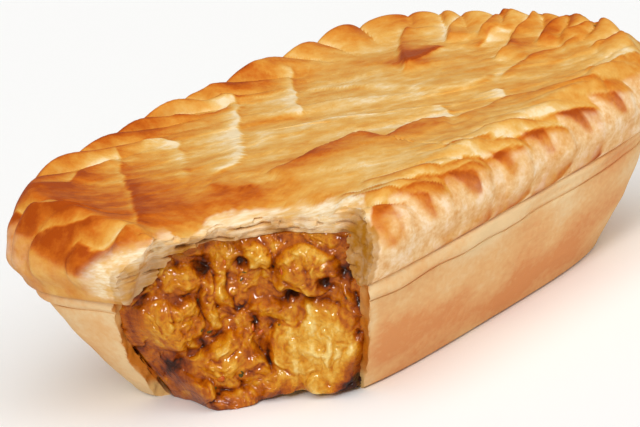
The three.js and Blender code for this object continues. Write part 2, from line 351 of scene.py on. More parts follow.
class Shader:
    """One material's node tree, while it is put together."""

    def __init__(self, name: str) -> None:
        """Start a material with a bare principled shader."""
        self.material = bpy.data.materials.new(name)
        self.material.use_nodes = True
        self.tree = self.material.node_tree
        self.body = self.tree.nodes["Principled BSDF"]
        self.place = self.tree.nodes.new("ShaderNodeTexCoord").outputs["Object"]

    def set(self, **sockets: float | tuple[float, ...]) -> None:
        """Set fixed values on the principled shader, spaces written as underscores."""
        for name, value in sockets.items():
            self.body.inputs[name.replace("_", " ")].default_value = value

    def feed(self, name: str, source: bpy.types.NodeSocket) -> None:
        """Link a socket to one of the principled shader's inputs."""
        self.tree.links.new(source, self.body.inputs[name])

    def layer(self, name: str) -> bpy.types.NodeSocket:
        """Read one of the mesh's own layers."""
        node = self.tree.nodes.new("ShaderNodeAttribute")
        node.attribute_name = name
        return node.outputs["Fac"]

    def noise(self, size: tuple[float, float, float], detail: float = 3.0,
              turn: float = 0.0, rough: float = 0.55) -> bpy.types.NodeSocket:
        """Add noise.

        Args:
            size: Size of a bump along each axis, in millimetres.
            detail: Number of finer layers.
            turn: Turn about the upright axis, in degrees.
            rough: Strength of the finer layers.

        Returns:
            The noise's value.
        """
        mapping = self.tree.nodes.new("ShaderNodeMapping")
        mapping.vector_type = "TEXTURE"
        mapping.inputs["Rotation"].default_value = (0, 0, math.radians(turn))
        mapping.inputs["Scale"].default_value = [s * MM for s in size]
        self.tree.links.new(self.place, mapping.inputs["Vector"])
        node = self.tree.nodes.new("ShaderNodeTexNoise")
        node.inputs["Scale"].default_value = 1.0
        node.inputs["Detail"].default_value = detail
        node.inputs["Roughness"].default_value = rough
        self.tree.links.new(mapping.outputs["Vector"], node.inputs["Vector"])
        return node.outputs["Fac"]

    def math(self, kind: str, first: bpy.types.NodeSocket,
             second: bpy.types.NodeSocket | float) -> bpy.types.NodeSocket:
        """Combine two values.

        Args:
            kind: Blender's name for the operation.
            first: First value.
            second: Second value, from a node or fixed.

        Returns:
            The result.
        """
        node = self.tree.nodes.new("ShaderNodeMath")
        node.operation = kind
        self.tree.links.new(first, node.inputs[0])
        if isinstance(second, (int, float)):
            node.inputs[1].default_value = second
        else:
            self.tree.links.new(second, node.inputs[1])
        return node.outputs[0]

    def add(self, first: bpy.types.NodeSocket, *more: bpy.types.NodeSocket) -> bpy.types.NodeSocket:
        """Add up values, from the first to the last."""
        for value in more:
            first = self.math("ADD", first, value)
        return first

    def swing(self, source: bpy.types.NodeSocket, amount: float) -> bpy.types.NodeSocket:
        """Turn noise into a swing about zero, of the given amount."""
        return self.math("MULTIPLY", self.math("SUBTRACT", source, 0.5), amount)

    def ramp(self, source: bpy.types.NodeSocket,
             stops: tuple[tuple[float, Colour], ...]) -> bpy.types.NodeSocket:
        """Turn a value into a colour.

        Args:
            source: The value.
            stops: Places along the ramp and their colours.

        Returns:
            The colour.
        """
        node = self.tree.nodes.new("ShaderNodeValToRGB")
        node.color_ramp.interpolation = "LINEAR"
        marks = node.color_ramp.elements
        while len(marks) < len(stops):
            marks.new(0.5)
        for mark, (place, colour) in zip(marks, stops):
            mark.position = place
            mark.color = colour.linear()
        self.tree.links.new(source, node.inputs["Fac"])
        return node.outputs["Color"]

    def span(self, source: bpy.types.NodeSocket, low: float, high: float, start: float = 0.0,
             end: float = 1.0) -> bpy.types.NodeSocket:
        """Map a range of values onto another.

        Args:
            source: The value.
            low: Where the input range starts.
            high: Where the input range ends.
            start: What low becomes.
            end: What high becomes.

        Returns:
            The mapped value, held inside the new range.
        """
        node = self.tree.nodes.new("ShaderNodeMapRange")
        for name, value in (("From Min", low), ("From Max", high), ("To Min", start), ("To Max", end)):
            node.inputs[name].default_value = value
        self.tree.links.new(source, node.inputs["Value"])
        return node.outputs["Result"]

    def mix(self, factor: bpy.types.NodeSocket, under: bpy.types.NodeSocket | Colour,
            over: bpy.types.NodeSocket | Colour) -> bpy.types.NodeSocket:
        """Lay one colour over another.

        Args:
            factor: How much of the upper colour shows.
            under: The lower colour.
            over: The upper colour.

        Returns:
            The mixed colour.
        """
        node = self.tree.nodes.new("ShaderNodeMix")
        node.data_type = "RGBA"
        # A mix node's colour sockets come after those for numbers and vectors
        lower, upper = node.inputs[6:8]
        self.tree.links.new(factor, node.inputs[0])
        for slot, value in ((lower, under), (upper, over)):
            if isinstance(value, Colour):
                slot.default_value = value.linear()
            else:
                self.tree.links.new(value, slot)
        return node.outputs[2]

    def bump(self, height: bpy.types.NodeSocket, depth: float, strength: float = 1.0) -> None:
        """Add fine relief.

        Args:
            height: The relief's pattern.
            depth: Height of the relief, in millimetres.
            strength: Share of it that shows.
        """
        node = self.tree.nodes.new("ShaderNodeBump")
        node.inputs["Distance"].default_value = depth * MM
        node.inputs["Strength"].default_value = strength
        self.tree.links.new(height, node.inputs["Height"])
        self.feed("Normal", node.outputs["Normal"])


@dataclass(frozen=True)
class PuffCrust:
    """Egg-washed puff pastry: golden to chestnut, cream where it is torn."""

    cream: Colour = Colour(246, 222, 178)
    pale: Colour = Colour(236, 194, 122)
    gold: Colour = Colour(228, 172, 84)
    amber: Colour = Colour(218, 142, 50)
    chestnut: Colour = Colour(200, 102, 20)
    dark: Colour = Colour(168, 70, 4)
    bare: Colour = Colour(240, 200, 148)
    bare_high: Colour = Colour(252, 226, 192)
    bare_low: Colour = Colour(222, 160, 92)
    crumb: Colour = Colour(251, 233, 200)
    crumb_shade: Colour = Colour(234, 194, 130)
    sauce: Colour = Colour(176, 114, 18)

    def material(self) -> bpy.types.Material:
        """Build the material."""
        art = Shader("glazed_puff_pastry")
        streak = art.noise((16, 4, 8), 3, GRAIN_DEG)
        patch = art.noise((5, 4, 4), 4, GRAIN_DEG, 0.6)
        fleck = art.noise((2.2, 1.5, 1.6), 4, GRAIN_DEG, 0.65)
        fine = art.noise((0.9, 0.7, 0.8), 3)
        mottle = art.add(art.swing(streak, 0.36), art.swing(patch, 0.66), art.swing(fleck, 0.36))
        # The browning layer also carries painted shade and highlights
        skin = art.ramp(art.add(art.layer("bake_and_painted_light"), mottle),
                        ((0.0, self.cream), (0.16, self.pale), (0.32, self.gold),
                         (0.54, self.amber), (0.78, self.chestnut), (1.0, self.dark)))
        clots = art.math("MULTIPLY", art.noise((3.4, 3.4, 2.8), 4), 0.7)
        dough = art.ramp(art.add(clots, art.math("MULTIPLY", fine, 0.3)),
                         ((0.36, self.bare_high), (0.5, self.bare), (0.66, self.bare_low)))
        skin = art.mix(art.layer("bare"), skin, dough)
        leaves = art.span(art.noise((5, 1.2, 0.5), 4, GRAIN_DEG), 0.35, 0.7)
        toasted = art.span(art.noise((8, 3.5, 3), 3, GRAIN_DEG), 0.5, 0.64, 0.0, 0.75)
        crumb = art.mix(toasted, art.mix(leaves, self.crumb, self.crumb_shade), self.gold)
        colour = art.mix(art.layer("torn"), skin, crumb)
        wet = art.math("MULTIPLY", art.layer("stain"), art.span(patch, 0.3, 0.6, 0.62, 1.0))
        art.feed("Base Color", art.mix(wet, colour, self.sauce))
        unglazed = art.add(art.layer("torn"), art.layer("bare"))
        art.feed("Roughness", art.span(unglazed, 0.0, 1.0, 0.4, 0.75))
        art.bump(art.add(art.math("MULTIPLY", fine, 0.4), patch), 0.2)
        art.set(Specular_IOR_Level=0.14)
        return art.material


@dataclass(frozen=True)
class Shortcrust:
    """Matte baked shortcrust of the case."""

    peach: Colour = Colour(231, 181, 122)
    # The darkest colour: toasted crust, and the painted shade in the grooves
    toast_and_shade: Colour = Colour(222, 150, 92)
    cream: Colour = Colour(236, 202, 152)
    crumb: Colour = Colour(228, 182, 114)
    sauce: Colour = Colour(196, 112, 22)

    def material(self) -> bpy.types.Material:
        """Build the material."""
        art = Shader("baked_shortcrust")
        cloud = art.noise((22, 22, 11), 3)
        grain = art.noise((1.6, 1.6, 1.2), 4)
        # The toast layer carries toasting and the painted shade of the grooves
        tone = art.add(art.layer("toast_and_shade"), art.swing(grain, 0.65), art.swing(cloud, 1.15))
        skin = art.ramp(tone, ((0.1, self.cream), (0.45, self.peach), (0.9, self.toast_and_shade)))
        colour = art.mix(art.layer("torn"), skin, self.crumb)
        wet = art.math("MULTIPLY", art.layer("stain"), art.span(cloud, 0.25, 0.55, 0.5, 1.0))
        art.feed("Base Color", art.mix(wet, colour, self.sauce))
        art.feed("Roughness", art.span(art.layer("stain"), 0.0, 1.0, 0.74, 0.42))
        art.bump(art.add(art.math("MULTIPLY", cloud, 1.2), grain), 0.22)
        art.set(Specular_IOR_Level=0.15)
        return art.material


@dataclass(frozen=True)
class Curry:
    """Wet curried food: sauce with painted shade in its creases, over paler meat."""

    # crease is the colour of painted shade deep in crevices and hollows; deep is partly darker sauce, partly
    # that painted shade
    crease: Colour = Colour(60, 20, 0)
    deep: Colour = Colour(142, 58, 0)
    sauce: Colour = Colour(192, 100, 2)
    light: Colour = Colour(216, 140, 20)
    meat: Colour = Colour(232, 174, 64)
    meat_high: Colour = Colour(248, 214, 130)

    def material(self) -> bpy.types.Material:
        """Build the material."""
        art = Shader("chicken_balti")
        vast = art.noise((9.0, 9.0, 7.0), 2)
        broad = art.noise((3.2, 3.2, 2.6), 4)
        fine = art.noise((0.9, 0.9, 0.8), 4)
        strand = art.noise((2.0, 2.0, 7.0), 3, 30.0)
        tone = art.add(art.layer("raised"), art.swing(vast, 0.6), art.swing(broad, 0.7),
                       art.swing(fine, 0.3), art.swing(strand, 0.7))
        # Painted shade: the layer of crevice shade darkens crevices and hollows
        tone = art.math("SUBTRACT", tone, art.layer("crevice_shade"))
        tone = art.add(tone, art.math("MULTIPLY", art.layer("meat"), 0.27))
        # Crevices fall to the dark stops as painted shade, bumps rise towards the light stops as painted
        # highlight, and pale meat reaches the top
        art.feed("Base Color", art.ramp(tone, (
            (0.0, self.crease), (0.2, self.deep), (0.46, self.sauce),
            (0.66, self.light), (0.84, self.meat), (1.0, self.meat_high))))
        art.feed("Roughness", art.span(fine, 0.3, 0.7, 0.3, 0.5))
        art.bump(art.add(fine, art.math("MULTIPLY", strand, 0.5)), 0.6)
        art.set(Coat_Weight=0.45, Coat_Roughness=0.07, Coat_IOR=2.0, Specular_IOR_Level=0.05)
        return art.material


@dataclass(frozen=True)
class Vegetable:
    """Soft cooked vegetable under a film of sauce."""

    name: str
    skin: Colour
    edge: Colour

    def material(self) -> bpy.types.Material:
        """Build the material."""
        art = Shader(self.name)
        tone = art.noise((2.2, 2.2, 2.2), 3)
        art.feed("Base Color", art.ramp(tone, ((0.35, self.skin), (0.65, self.edge))))
        art.feed("Roughness", art.span(tone, 0.3, 0.7, 0.15, 0.35))
        art.bump(art.noise((0.8, 0.8, 0.8), 3), 0.15)
        art.set(Coat_Weight=0.3, Coat_Roughness=0.08)
        return art.material


BALTI = Curry()
RED_PEPPER = Vegetable("red_pepper", Colour(196, 70, 14), Colour(206, 112, 22))
HERB = Vegetable("chopped_herb", Colour(60, 56, 14), Colour(104, 84, 20))


@dataclass(frozen=True)
class PieOutline:
    """The pie's rounded-oblong plan and the crimps round its rim."""

    half_length: float = 70.0
    half_width: float = 43.0
    rim_squareness: float = 5.0
    base_squareness: float = 3.8
    rim_height: float = 25.0
    end_inset: float = 2.2
    valleys: tuple[float, ...] = (
        0.0208, 0.0489, 0.0625, 0.0817, 0.1154, 0.1527, 0.1866, 0.2370, 0.2726, 0.3018, 0.3269,
        0.3600, 0.3944, 0.4295, 0.4503, 0.4747, 0.4980, 0.5220, 0.5460, 0.5720, 0.6000, 0.6270,
        0.6550, 0.6830, 0.7175, 0.7500, 0.7812, 0.8143, 0.8448, 0.8730, 0.9000, 0.9250, 0.9480,
        0.9700, 0.9900)

    def squareness(self, height: Array) -> Array:
        """Return the outline's exponent at each height."""
        part = np.clip(height / self.rim_height, 0.0, 1.0)
        return self.base_squareness + (self.rim_squareness - self.base_squareness) * part

    def table(self) -> tuple[Array, Array, float]:
        """Return angles, the share of the rim's length up to each, and that length."""
        angle = np.linspace(0.0, TURN, 4001)
        x, y = self.at_angle(angle, 0.0, 0.0, self.rim_squareness)
        run = np.concatenate([[0.0], np.cumsum(np.hypot(np.diff(x), np.diff(y)))])
        return angle, run / run[-1], float(run[-1])

    def at_angle(self, angle: Array, inset: Array | float, end_inset: Array | float,
                 squareness: Array | float) -> tuple[Array, Array]:
        """Place points on an outline.

        Args:
            angle: Where round the outline, in radians.
            inset: How far inside the rim.
            end_inset: How much further inside at the two ends.
            squareness: The outline's exponent.

        Returns:
            The x and y of each point.
        """
        c, s = np.cos(angle), np.sin(angle)
        x = (self.half_length - end_inset - inset) * np.sign(c) * np.abs(c) ** (2 / squareness)
        y = (self.half_width - inset) * np.sign(s) * np.abs(s) ** (2 / squareness)
        return x, y

    def at_share(self, share: Array, inset: Array, end_inset: Array | float,
                 squareness: Array | float) -> tuple[Array, Array]:
        """Place points by their share of the way round, as at_angle does by angle."""
        angle, run, _ = self.table()
        return self.at_angle(np.interp(share, run, angle), inset, end_inset, squareness)

    def locate(self, x: Array, y: Array) -> tuple[Array, Array]:
        """Find where points lie on the rim's family of outlines.

        Args:
            x: Places along the pie.
            y: Places across it.

        Returns:
            How far inside the rim each point lies, and its share of the way round.
        """
        power = self.rim_squareness
        low, high = np.full_like(x, -4.0), np.full_like(x, self.half_width - 0.01)
        for _ in range(24):
            mid = (low + high) / 2
            size = np.abs(x / (self.half_length - mid)) ** power
            size += np.abs(y / (self.half_width - mid)) ** power
            low, high = np.where(size < 1.0, mid, low), np.where(size < 1.0, high, mid)
        c = np.sign(x) * np.abs(x / (self.half_length - low)) ** (power / 2)
        s = np.sign(y) * np.abs(y / (self.half_width - low)) ** (power / 2)
        angle, run, _ = self.table()
        return low, np.interp(np.mod(np.arctan2(s, c), TURN), angle, run)

    def crimp(self, share: Array) -> Array:
        """Return which crimp each share falls in, with the part of the way across it."""
        marks = np.array(self.valleys)
        marks = np.concatenate([[marks[-1] - 1.0], marks, [marks[0] + 1.0]])
        return np.interp(np.mod(share, 1.0), marks, np.arange(len(marks)))


OUTLINE = PieOutline()


def grain_axes(x: Array, y: Array) -> tuple[Array, Array]:
    """Return how far points lie along the lid's grain and across it."""
    c, s = math.cos(math.radians(GRAIN_DEG)), math.sin(math.radians(GRAIN_DEG))
    return x * c + y * s, y * c - x * s


@dataclass(frozen=True)
class Tongue:
    """A place where a bite's edge juts into the pastry."""

    degrees: float
    spread: float
    reach: float


@dataclass(frozen=True)
class Bite:
    """The plan of one eaten corner."""

    x: float
    y: float
    reach_x: float
    reach_y: float
    squareness: float
    lean: float
    torn: float = 0.0
    tongues: tuple[Tongue, ...] = ()
    rest_height: float = 25.0
    lean_along: float = 0.0

    def point(self, angle: Array, shrink: Array | float = 0.0) -> tuple[Array, Array]:
        """Place points on the bite's edge.

        Args:
            angle: Direction from the bite's middle, in radians.
            shrink: How far towards that middle the points move.

        Returns:
            The x and y of each point.
        """
        inward = np.zeros_like(angle) + shrink
        for tongue in self.tongues:
            gap = (np.degrees(angle) - tongue.degrees) / tongue.spread
            inward = inward + tongue.reach * np.exp(-gap * gap)
        inward = inward + self.torn * (0.6 * np.sin(17 * angle + 0.6) + 0.4 * np.sin(29 * angle + 2.2))
        c, s = np.cos(angle), np.sin(angle)
        x = self.x + (self.reach_x - inward) * np.sign(c) * np.abs(c) ** (2 / self.squareness)
        y = self.y + (self.reach_y - inward) * np.sign(s) * np.abs(s) ** (2 / self.squareness)
        return x, y

    def depth(self, points: Array) -> tuple[Array, Array]:
        """Measure points against the bite.

        Args:
            points: Places, three to a row.

        Returns:
            Direction from the bite's middle, in degrees, and about how far outside it is.
        """
        x = points[:, 0] - self.x + self.lean_along * (points[:, 2] - self.rest_height)
        y = points[:, 1] - self.y + self.lean * (points[:, 2] - self.rest_height)
        n = self.squareness / 2
        angle = np.arctan2(np.sign(y) * np.abs(y / self.reach_y) ** n,
                           np.sign(x) * np.abs(x / self.reach_x) ** n)
        edge_x, edge_y = self.point(angle)
        gap = np.hypot(x, y) - np.hypot(edge_x - self.x, edge_y - self.y)
        return np.degrees(angle), gap

    def cutter(self, name: str, heights: Array, steps: int, carve: "Carve") -> bpy.types.Object:
        """Make the shape that is bitten off.

        Args:
            name: Name of the new object.
            heights: Height of each row.
            steps: Columns round the bite.
            carve: Gives how much further in the edge goes, by degrees and height.

        Returns:
            The closed cutter.
        """
        mesh = roll_tube(len(heights) + 2, steps, name)
        row, share, rim = tube_places(mesh)
        height = np.concatenate([heights[:1], heights, heights[-1:]])[row]
        angle = np.radians(np.interp(share, (0.0, BITE_SHARE, 1.0), (*BITE_SPAN, BITE_SPAN[0] + 360.0)))
        x, y = self.point(angle, -carve.inward(np.degrees(angle), height))
        x = x - self.lean_along * (height - self.rest_height)
        y = y - self.lean * (height - self.rest_height)
        points = np.stack([self.x + (x - self.x) * rim, self.y + (y - self.y) * rim, height], axis=1)
        write_points(mesh, points)
        return link_piece(name, mesh)


@dataclass(frozen=True)
class Carve:
    """How a bitten edge crumbles: smooth crumb, or thin leaves that step back."""

    leaves: int = 0
    foot: float = 31.0
    top: float = 42.0
    ragged: float = 0.3
    grain: float = 1.2
    run_per_degree: float = 0.72
    setback_degrees: tuple[float, ...] = (0.0, 90.0)
    setback: tuple[float, ...] = (0.0, 0.0)

    def inward(self, degrees: Array, height: Array) -> Array:
        """Return how far the edge goes in beyond the bite's plain outline.

        Args:
            degrees: Direction from the bite's middle.
            height: Height above the table.

        Returns:
            Millimetres into the pastry.
        """
        run = degrees * self.run_per_degree
        crumb = noise_of(31, run / self.grain, height / self.grain)
        crumb += 0.6 * noise_of(32, run / (3 * self.grain), height / (3 * self.grain))
        if not self.leaves:
            return self.ragged * crumb
        climb = (height - self.foot) / (self.top - self.foot) * self.leaves
        climb = climb + 0.45 * noise_of(33, run / 5.0)
        leaf = np.floor(np.clip(climb, -4.0, self.leaves))
        edge = 1.2 * noise_of(34, run / 3.2, leaf * 7.3) + 0.5 * noise_of(35, run / 1.1, leaf * 5.7)
        lip = ease(climb - np.floor(climb), 0.3, 0.1)
        edge += 0.9 * lip * ease(noise_of(36, run / 4.0, leaf * 3.1), -0.3, 0.2)
        edge *= (0.3 + 0.7 * ease(degrees, 4.0, 20.0)) * (1.0 - 0.5 * ease(degrees, 66.0, 82.0))
        back = self.setback_at(degrees)
        crumb *= self.ragged * (0.25 + 0.75 * ease(degrees, 16.0, 6.0))
        return back * np.clip(leaf / self.leaves, 0.0, 1.0) + edge + crumb

    def setback_at(self, degrees: Array) -> Array:
        """Return how far the topmost leaf steps back, by direction."""
        return np.interp(degrees, self.setback_degrees, self.setback)


@dataclass(frozen=True)
class FlakeEdge:
    """A broken edge of one pastry leaf on the lid, along the grain and across it."""

    line: tuple[tuple[float, float], ...]
    up: Side
    rise: float
    reach: float
    cream: float = 0.0
    tan: float = 0.0
    tan_reach: float = 1.7
    # pale lightens a band on the far side: partly a less browned fold, partly a painted highlight on the
    # lip; below zero it browns the band instead
    pale: float = 0.0
    pale_reach: float = 2.2
    ragged: float = 1.0
    tail: float = 1.5
    cream_reach: float = 3.2

    def measure(self, a: Array, b: Array) -> tuple[Array, Array]:
        """Measure points against the edge.

        Args:
            a: Places along the grain.
            b: Places across it.

        Returns:
            Distance from the edge, positive on its raised side, and a fade at its two ends.
        """
        best = np.full_like(a, FAR)
        signed, along = np.zeros_like(a), np.zeros_like(a)
        run = 0.0
        for (a0, b0), (a1, b1) in zip(self.line, self.line[1:]):
            da, db = a1 - a0, b1 - b0
            length = math.hypot(da, db)
            t = ((a - a0) * da + (b - b0) * db) / length ** 2
            held = np.clip(t, 0.0, 1.0)
            gap = np.hypot(a - a0 - held * da, b - b0 - held * db)
            side = np.sign(da * (b - b0) - db * (a - a0))
            nearer = gap < best
            best = np.where(nearer, gap, best)
            signed = np.where(nearer, gap * side, signed)
            along = np.where(nearer, run + t * length, along)
            run += length
        fade = ease(along, -0.5, 1.5) * (1.0 - ease(along, run - self.tail, run + 0.5))
        return signed * self.up.value, fade


@dataclass(frozen=True)
class BakedPatch:
    """A patch of the lid that the oven browned more or less, along the grain and across it."""

    a: float
    b: float
    wide: float
    deep: float
    amount: float

    def at(self, a: Array, b: Array) -> Array:
        """Return the patch's share of the browning at each place."""
        along, across = (a - self.a) / self.wide, (b - self.b) / self.deep
        return self.amount * np.exp(-along ** 2 - across ** 2)


def near_fold(pale: float, *line: tuple[float, float]) -> FlakeEdge:
    """Draw a fold between two ropes of the near rim, with a painted highlight on the pale lip above it."""
    return FlakeEdge(line, Side.RIGHT, rise=0.8, reach=4, tan=0.6, tan_reach=1.2, pale=pale,
                     pale_reach=1.6, ragged=0.2)


def left_rope(rise: float, pale_reach: float, tail: float, *line: tuple[float, float]) -> FlakeEdge:
    """Draw the lip of a crimp at the left end, with a painted highlight along it."""
    return FlakeEdge(line, Side.RIGHT, rise=rise, reach=5, tan=0.24, tan_reach=5.0, pale=0.6,
                     pale_reach=pale_reach, ragged=0.15, tail=tail)


# Broken edges of pastry leaves, drawn from the photograph along the grain and across it
FLAKE_EDGES = (
    FlakeEdge(((-20, -24), (-12.5, -21), (-8.1, -17), (-4.3, -15.2), (-0.7, -12.6), (1.4, -12), (3.4, -14.4),
               (5.4, -17.2), (7.2, -15.8), (10.5, -12.1), (13.9, -10.6), (16.8, -11.4), (19.7, -11.7)),
              Side.RIGHT, rise=1.4, reach=14, tan=0.4, tan_reach=3.0, pale=0.22, pale_reach=2.5, ragged=0.6),
    FlakeEdge(((20.9, -11.7), (24.2, -9.9), (27.8, -8), (30.9, -5.5), (33.6, -3.7), (37.9, -5.1), (44, -5.9),
               (52.6, -4.7), (57.8, -2.1)),
              Side.RIGHT, rise=0.9, reach=7, tan=0.36, tan_reach=2.6, pale=0.15, pale_reach=1.5, ragged=0.4),
    FlakeEdge(((-3, 25.7), (7.9, 20.7), (15.2, 14.8), (22.1, 7.3), (27.2, 6.8), (30.9, 9.0), (33.8, 12.3)),
              Side.LEFT, rise=0.6, reach=10, cream=0.45),
    FlakeEdge(((-17, 27), (-18.2, 18), (-20.2, 5.1), (-21.7, -11), (-24.8, -16.7), (-29.3, -19.6)),
              Side.RIGHT, rise=0.8, reach=7, cream=0.85, pale=-0.14, pale_reach=2.0, ragged=0.7),
    FlakeEdge(((-3, 40), (-5.1, 27.7), (-5.8, 18.9), (-7.1, 8.8)),
              Side.RIGHT, rise=0.7, reach=8, cream=0.7, pale=-0.12),
    FlakeEdge(((-45.9, 3.3), (-45.7, -2.5), (-46, -8.8), (-46.3, -15)),
              Side.RIGHT, rise=0.4, reach=4, cream=0.55, pale=-0.2, pale_reach=4.0),
    FlakeEdge(((-46.2, -13), (-46.2, -20.3), (-46.8, -29.4), (-47.2, -39.1)),
              Side.LEFT, rise=0.7, reach=6, tan=0.32, tan_reach=5.0, pale=0.3, pale_reach=1.0, ragged=0.6),
    FlakeEdge(((-32.4, 5.8), (-33, -0.4), (-33.9, -10.8), (-34.7, -19.5)),
              Side.RIGHT, rise=0.45, reach=5, cream=0.5, pale=-0.15, pale_reach=1.0),
    FlakeEdge(((-40, 7.4), (-35.4, 6.2), (-32.8, 2.7)),
              Side.RIGHT, rise=0.5, reach=3, cream=0.95, pale=-0.2, pale_reach=2.5, ragged=0.4),
    FlakeEdge(((20, -1.6), (20.2, -5.3), (20.9, -11.1)),
              Side.RIGHT, rise=0.7, reach=6, cream=0.8, pale=-0.12, pale_reach=2.0, ragged=0.6),
    FlakeEdge(((-19, 2), (-8, 3), (4, 0.5), (19, -2)), Side.RIGHT, rise=0.5, reach=6, cream=0.5),
    FlakeEdge(((-19, 13), (-6, 14), (8, 12), (22, 8)), Side.RIGHT, rise=0.45, reach=6, cream=0.35),
    FlakeEdge(((32.6, 3), (33.4, 0.5), (33.6, -3.7)),
              Side.RIGHT, rise=0.8, reach=5, cream=0.9, pale=-0.15, pale_reach=1.5, ragged=0.5),
    FlakeEdge(((-32.2, -25.5), (-28.8, -28.1), (-26.1, -29.9), (-22.4, -28.8)),
              Side.LEFT, rise=0.9, reach=4, tan=0.4, tan_reach=1.4, pale=-0.2, pale_reach=3.0, ragged=0.5),
    FlakeEdge(((18.9, 25.5), (19.1, 32.1), (20.9, 42.6), (23.5, 51.5), (25.5, 55.5)),
              Side.RIGHT, rise=1.7, reach=6, tan=0.4, tan_reach=3.5, pale=0.1, pale_reach=3.0, ragged=0.5),
    FlakeEdge(((18.9, 26.9), (21.6, 28.7), (25.7, 33.1), (30.3, 38)),
              Side.LEFT, rise=1.2, reach=5, tan=0.6, tan_reach=4.0, pale=0.2, pale_reach=4.0, ragged=0.5),
    FlakeEdge(((31.2, 41.2), (33.2, 48), (36, 50.6), (38, 53)),
              Side.RIGHT, rise=2.6, reach=7, tan=0.36, tan_reach=2.6, pale=0.24, pale_reach=3.0, ragged=0.3),
    FlakeEdge(((37.8, 39.2), (40.1, 41.8), (43.4, 45.2), (46, 48)),
              Side.RIGHT, rise=2.6, reach=7, tan=0.36, tan_reach=2.6, pale=0.24, pale_reach=3.0, ragged=0.3),
    FlakeEdge(((36.5, 33.8), (39.5, 37.9), (42.4, 38.9), (45.3, 36.8)),
              Side.LEFT, rise=1.0, reach=5, tan=0.25, tan_reach=2.4, pale=0.3, pale_reach=4.0, ragged=0.3),
    FlakeEdge(((37.4, 22.7), (40.3, 25.5), (43.5, 32.7), (46.1, 35.6), (48.3, 37), (51, 41)),
              Side.RIGHT, rise=3.0, reach=7, tan=0.36, tan_reach=2.6, pale=0.3, pale_reach=3.5, ragged=0.3),
    FlakeEdge(((47.3, 25.1), (49.8, 28.9), (51.9, 30.8), (54.1, 31.9), (57, 34)),
              Side.RIGHT, rise=3.0, reach=7, tan=0.38, tan_reach=2.6, pale=0.28, pale_reach=3.5, ragged=0.3),
    FlakeEdge(((52, 25), (56, 24.6), (58.9, 25.4), (62, 27)),
              Side.RIGHT, rise=2.6, reach=7, tan=0.36, tan_reach=2.4, pale=0.28, pale_reach=3.0, ragged=0.3),
    FlakeEdge(((56, 14), (61, 15.2), (64.5, 16)),
              Side.RIGHT, rise=2.4, reach=6, tan=0.36, tan_reach=2.4, pale=0.3, pale_reach=2.5, ragged=0.3),
    FlakeEdge(((-23.6, 26.3), (-16.7, 25.3), (-11.4, 25.7), (-5.7, 27.8)),
              Side.LEFT, rise=0.5, reach=6, tan=0.2, tan_reach=6.0, pale=0.1, pale_reach=4.0, ragged=0.5),
    FlakeEdge(((-32.1, 18.8), (-26.4, 17.6), (-23.1, 18.6), (-18.1, 23.5)),
              Side.RIGHT, rise=0.6, reach=5, tan=0.32, tan_reach=2.0, pale=0.3, pale_reach=2.5, ragged=0.5),
    FlakeEdge(((-64.1, -15.6), (-57.1, -12.1), (-54.1, -6), (-50.7, -3.5), (-47, -0.7)),
              Side.RIGHT, rise=0.7, reach=6, tan=0.25, tan_reach=4.0, pale=0.34, pale_reach=3.0, ragged=0.5),
    FlakeEdge(((35.4, 10.1), (41.2, 16.5), (47.4, 19.6), (55.5, 21.1)),
              Side.RIGHT, rise=1.0, reach=6, tan=0.32, tan_reach=2.4, pale=0.2, pale_reach=2.5, ragged=0.4),
    FlakeEdge(((51, 0.4), (53.7, 0.1), (56.6, 1.3), (60.5, 4.2), (64.5, 8.3)),
              Side.RIGHT, rise=1.6, reach=6, tan=0.34, tan_reach=2.2, pale=0.25, pale_reach=2.5, ragged=0.3),
    left_rope(2.2, 1.5, 7.0, (-69.5, -16.5), (-67.5, -20.2), (-65.9, -22.8), (-64.1, -25.6), (-61.8, -27.3),
              (-58, -29.2), (-52, -30)),
    left_rope(2.4, 1.3, 7.0, (-66.5, -27.5), (-64.8, -29.0), (-63.4, -30.2), (-61.9, -31.6), (-60.4, -32.8),
              (-57, -35), (-52, -36.5)),
    left_rope(2.4, 1.4, 8.0, (-60.7, -35.6), (-58.6, -36.6), (-56.7, -39.2), (-54.7, -40.5), (-52.2, -41.3),
              (-49.5, -41.2), (-45, -39)),
    near_fold(0.22, (-10, -45), (-6, -47.3), (-2.5, -49.9), (1.4, -49.3), (5.7, -46.9), (10.8, -44.7)),
    near_fold(0.22, (-9, -43), (-0.7, -46.2), (4.1, -46.4), (10.5, -43.4), (15, -39.9), (18.4, -37.4),
              (20.9, -36.9)),
    near_fold(0.22, (-4, -40), (5.2, -42.1), (11.2, -41.4), (16.9, -36.7), (21.2, -35), (25.9, -31.4),
              (30.6, -28.5)),
    near_fold(0.26, (14, -31), (20, -30.5), (25.7, -29), (30.3, -26.7), (35.1, -23), (41.9, -19.2)),
    near_fold(0.26, (22, -24.5), (31.6, -22.7), (37.2, -19.7), (42.1, -16.2), (45.8, -13.6), (49.8, -11.3)),
    FlakeEdge(((-6.1, -55.0), (-4.5, -53.8), (-2.3, -52.4), (-0.3, -52.1), (1.6, -51.5), (2.7, -51.8)),
              Side.RIGHT, rise=0.8, reach=4, tan=0.4, tan_reach=1.4, pale=0.3, pale_reach=1.5, ragged=0.2),
)

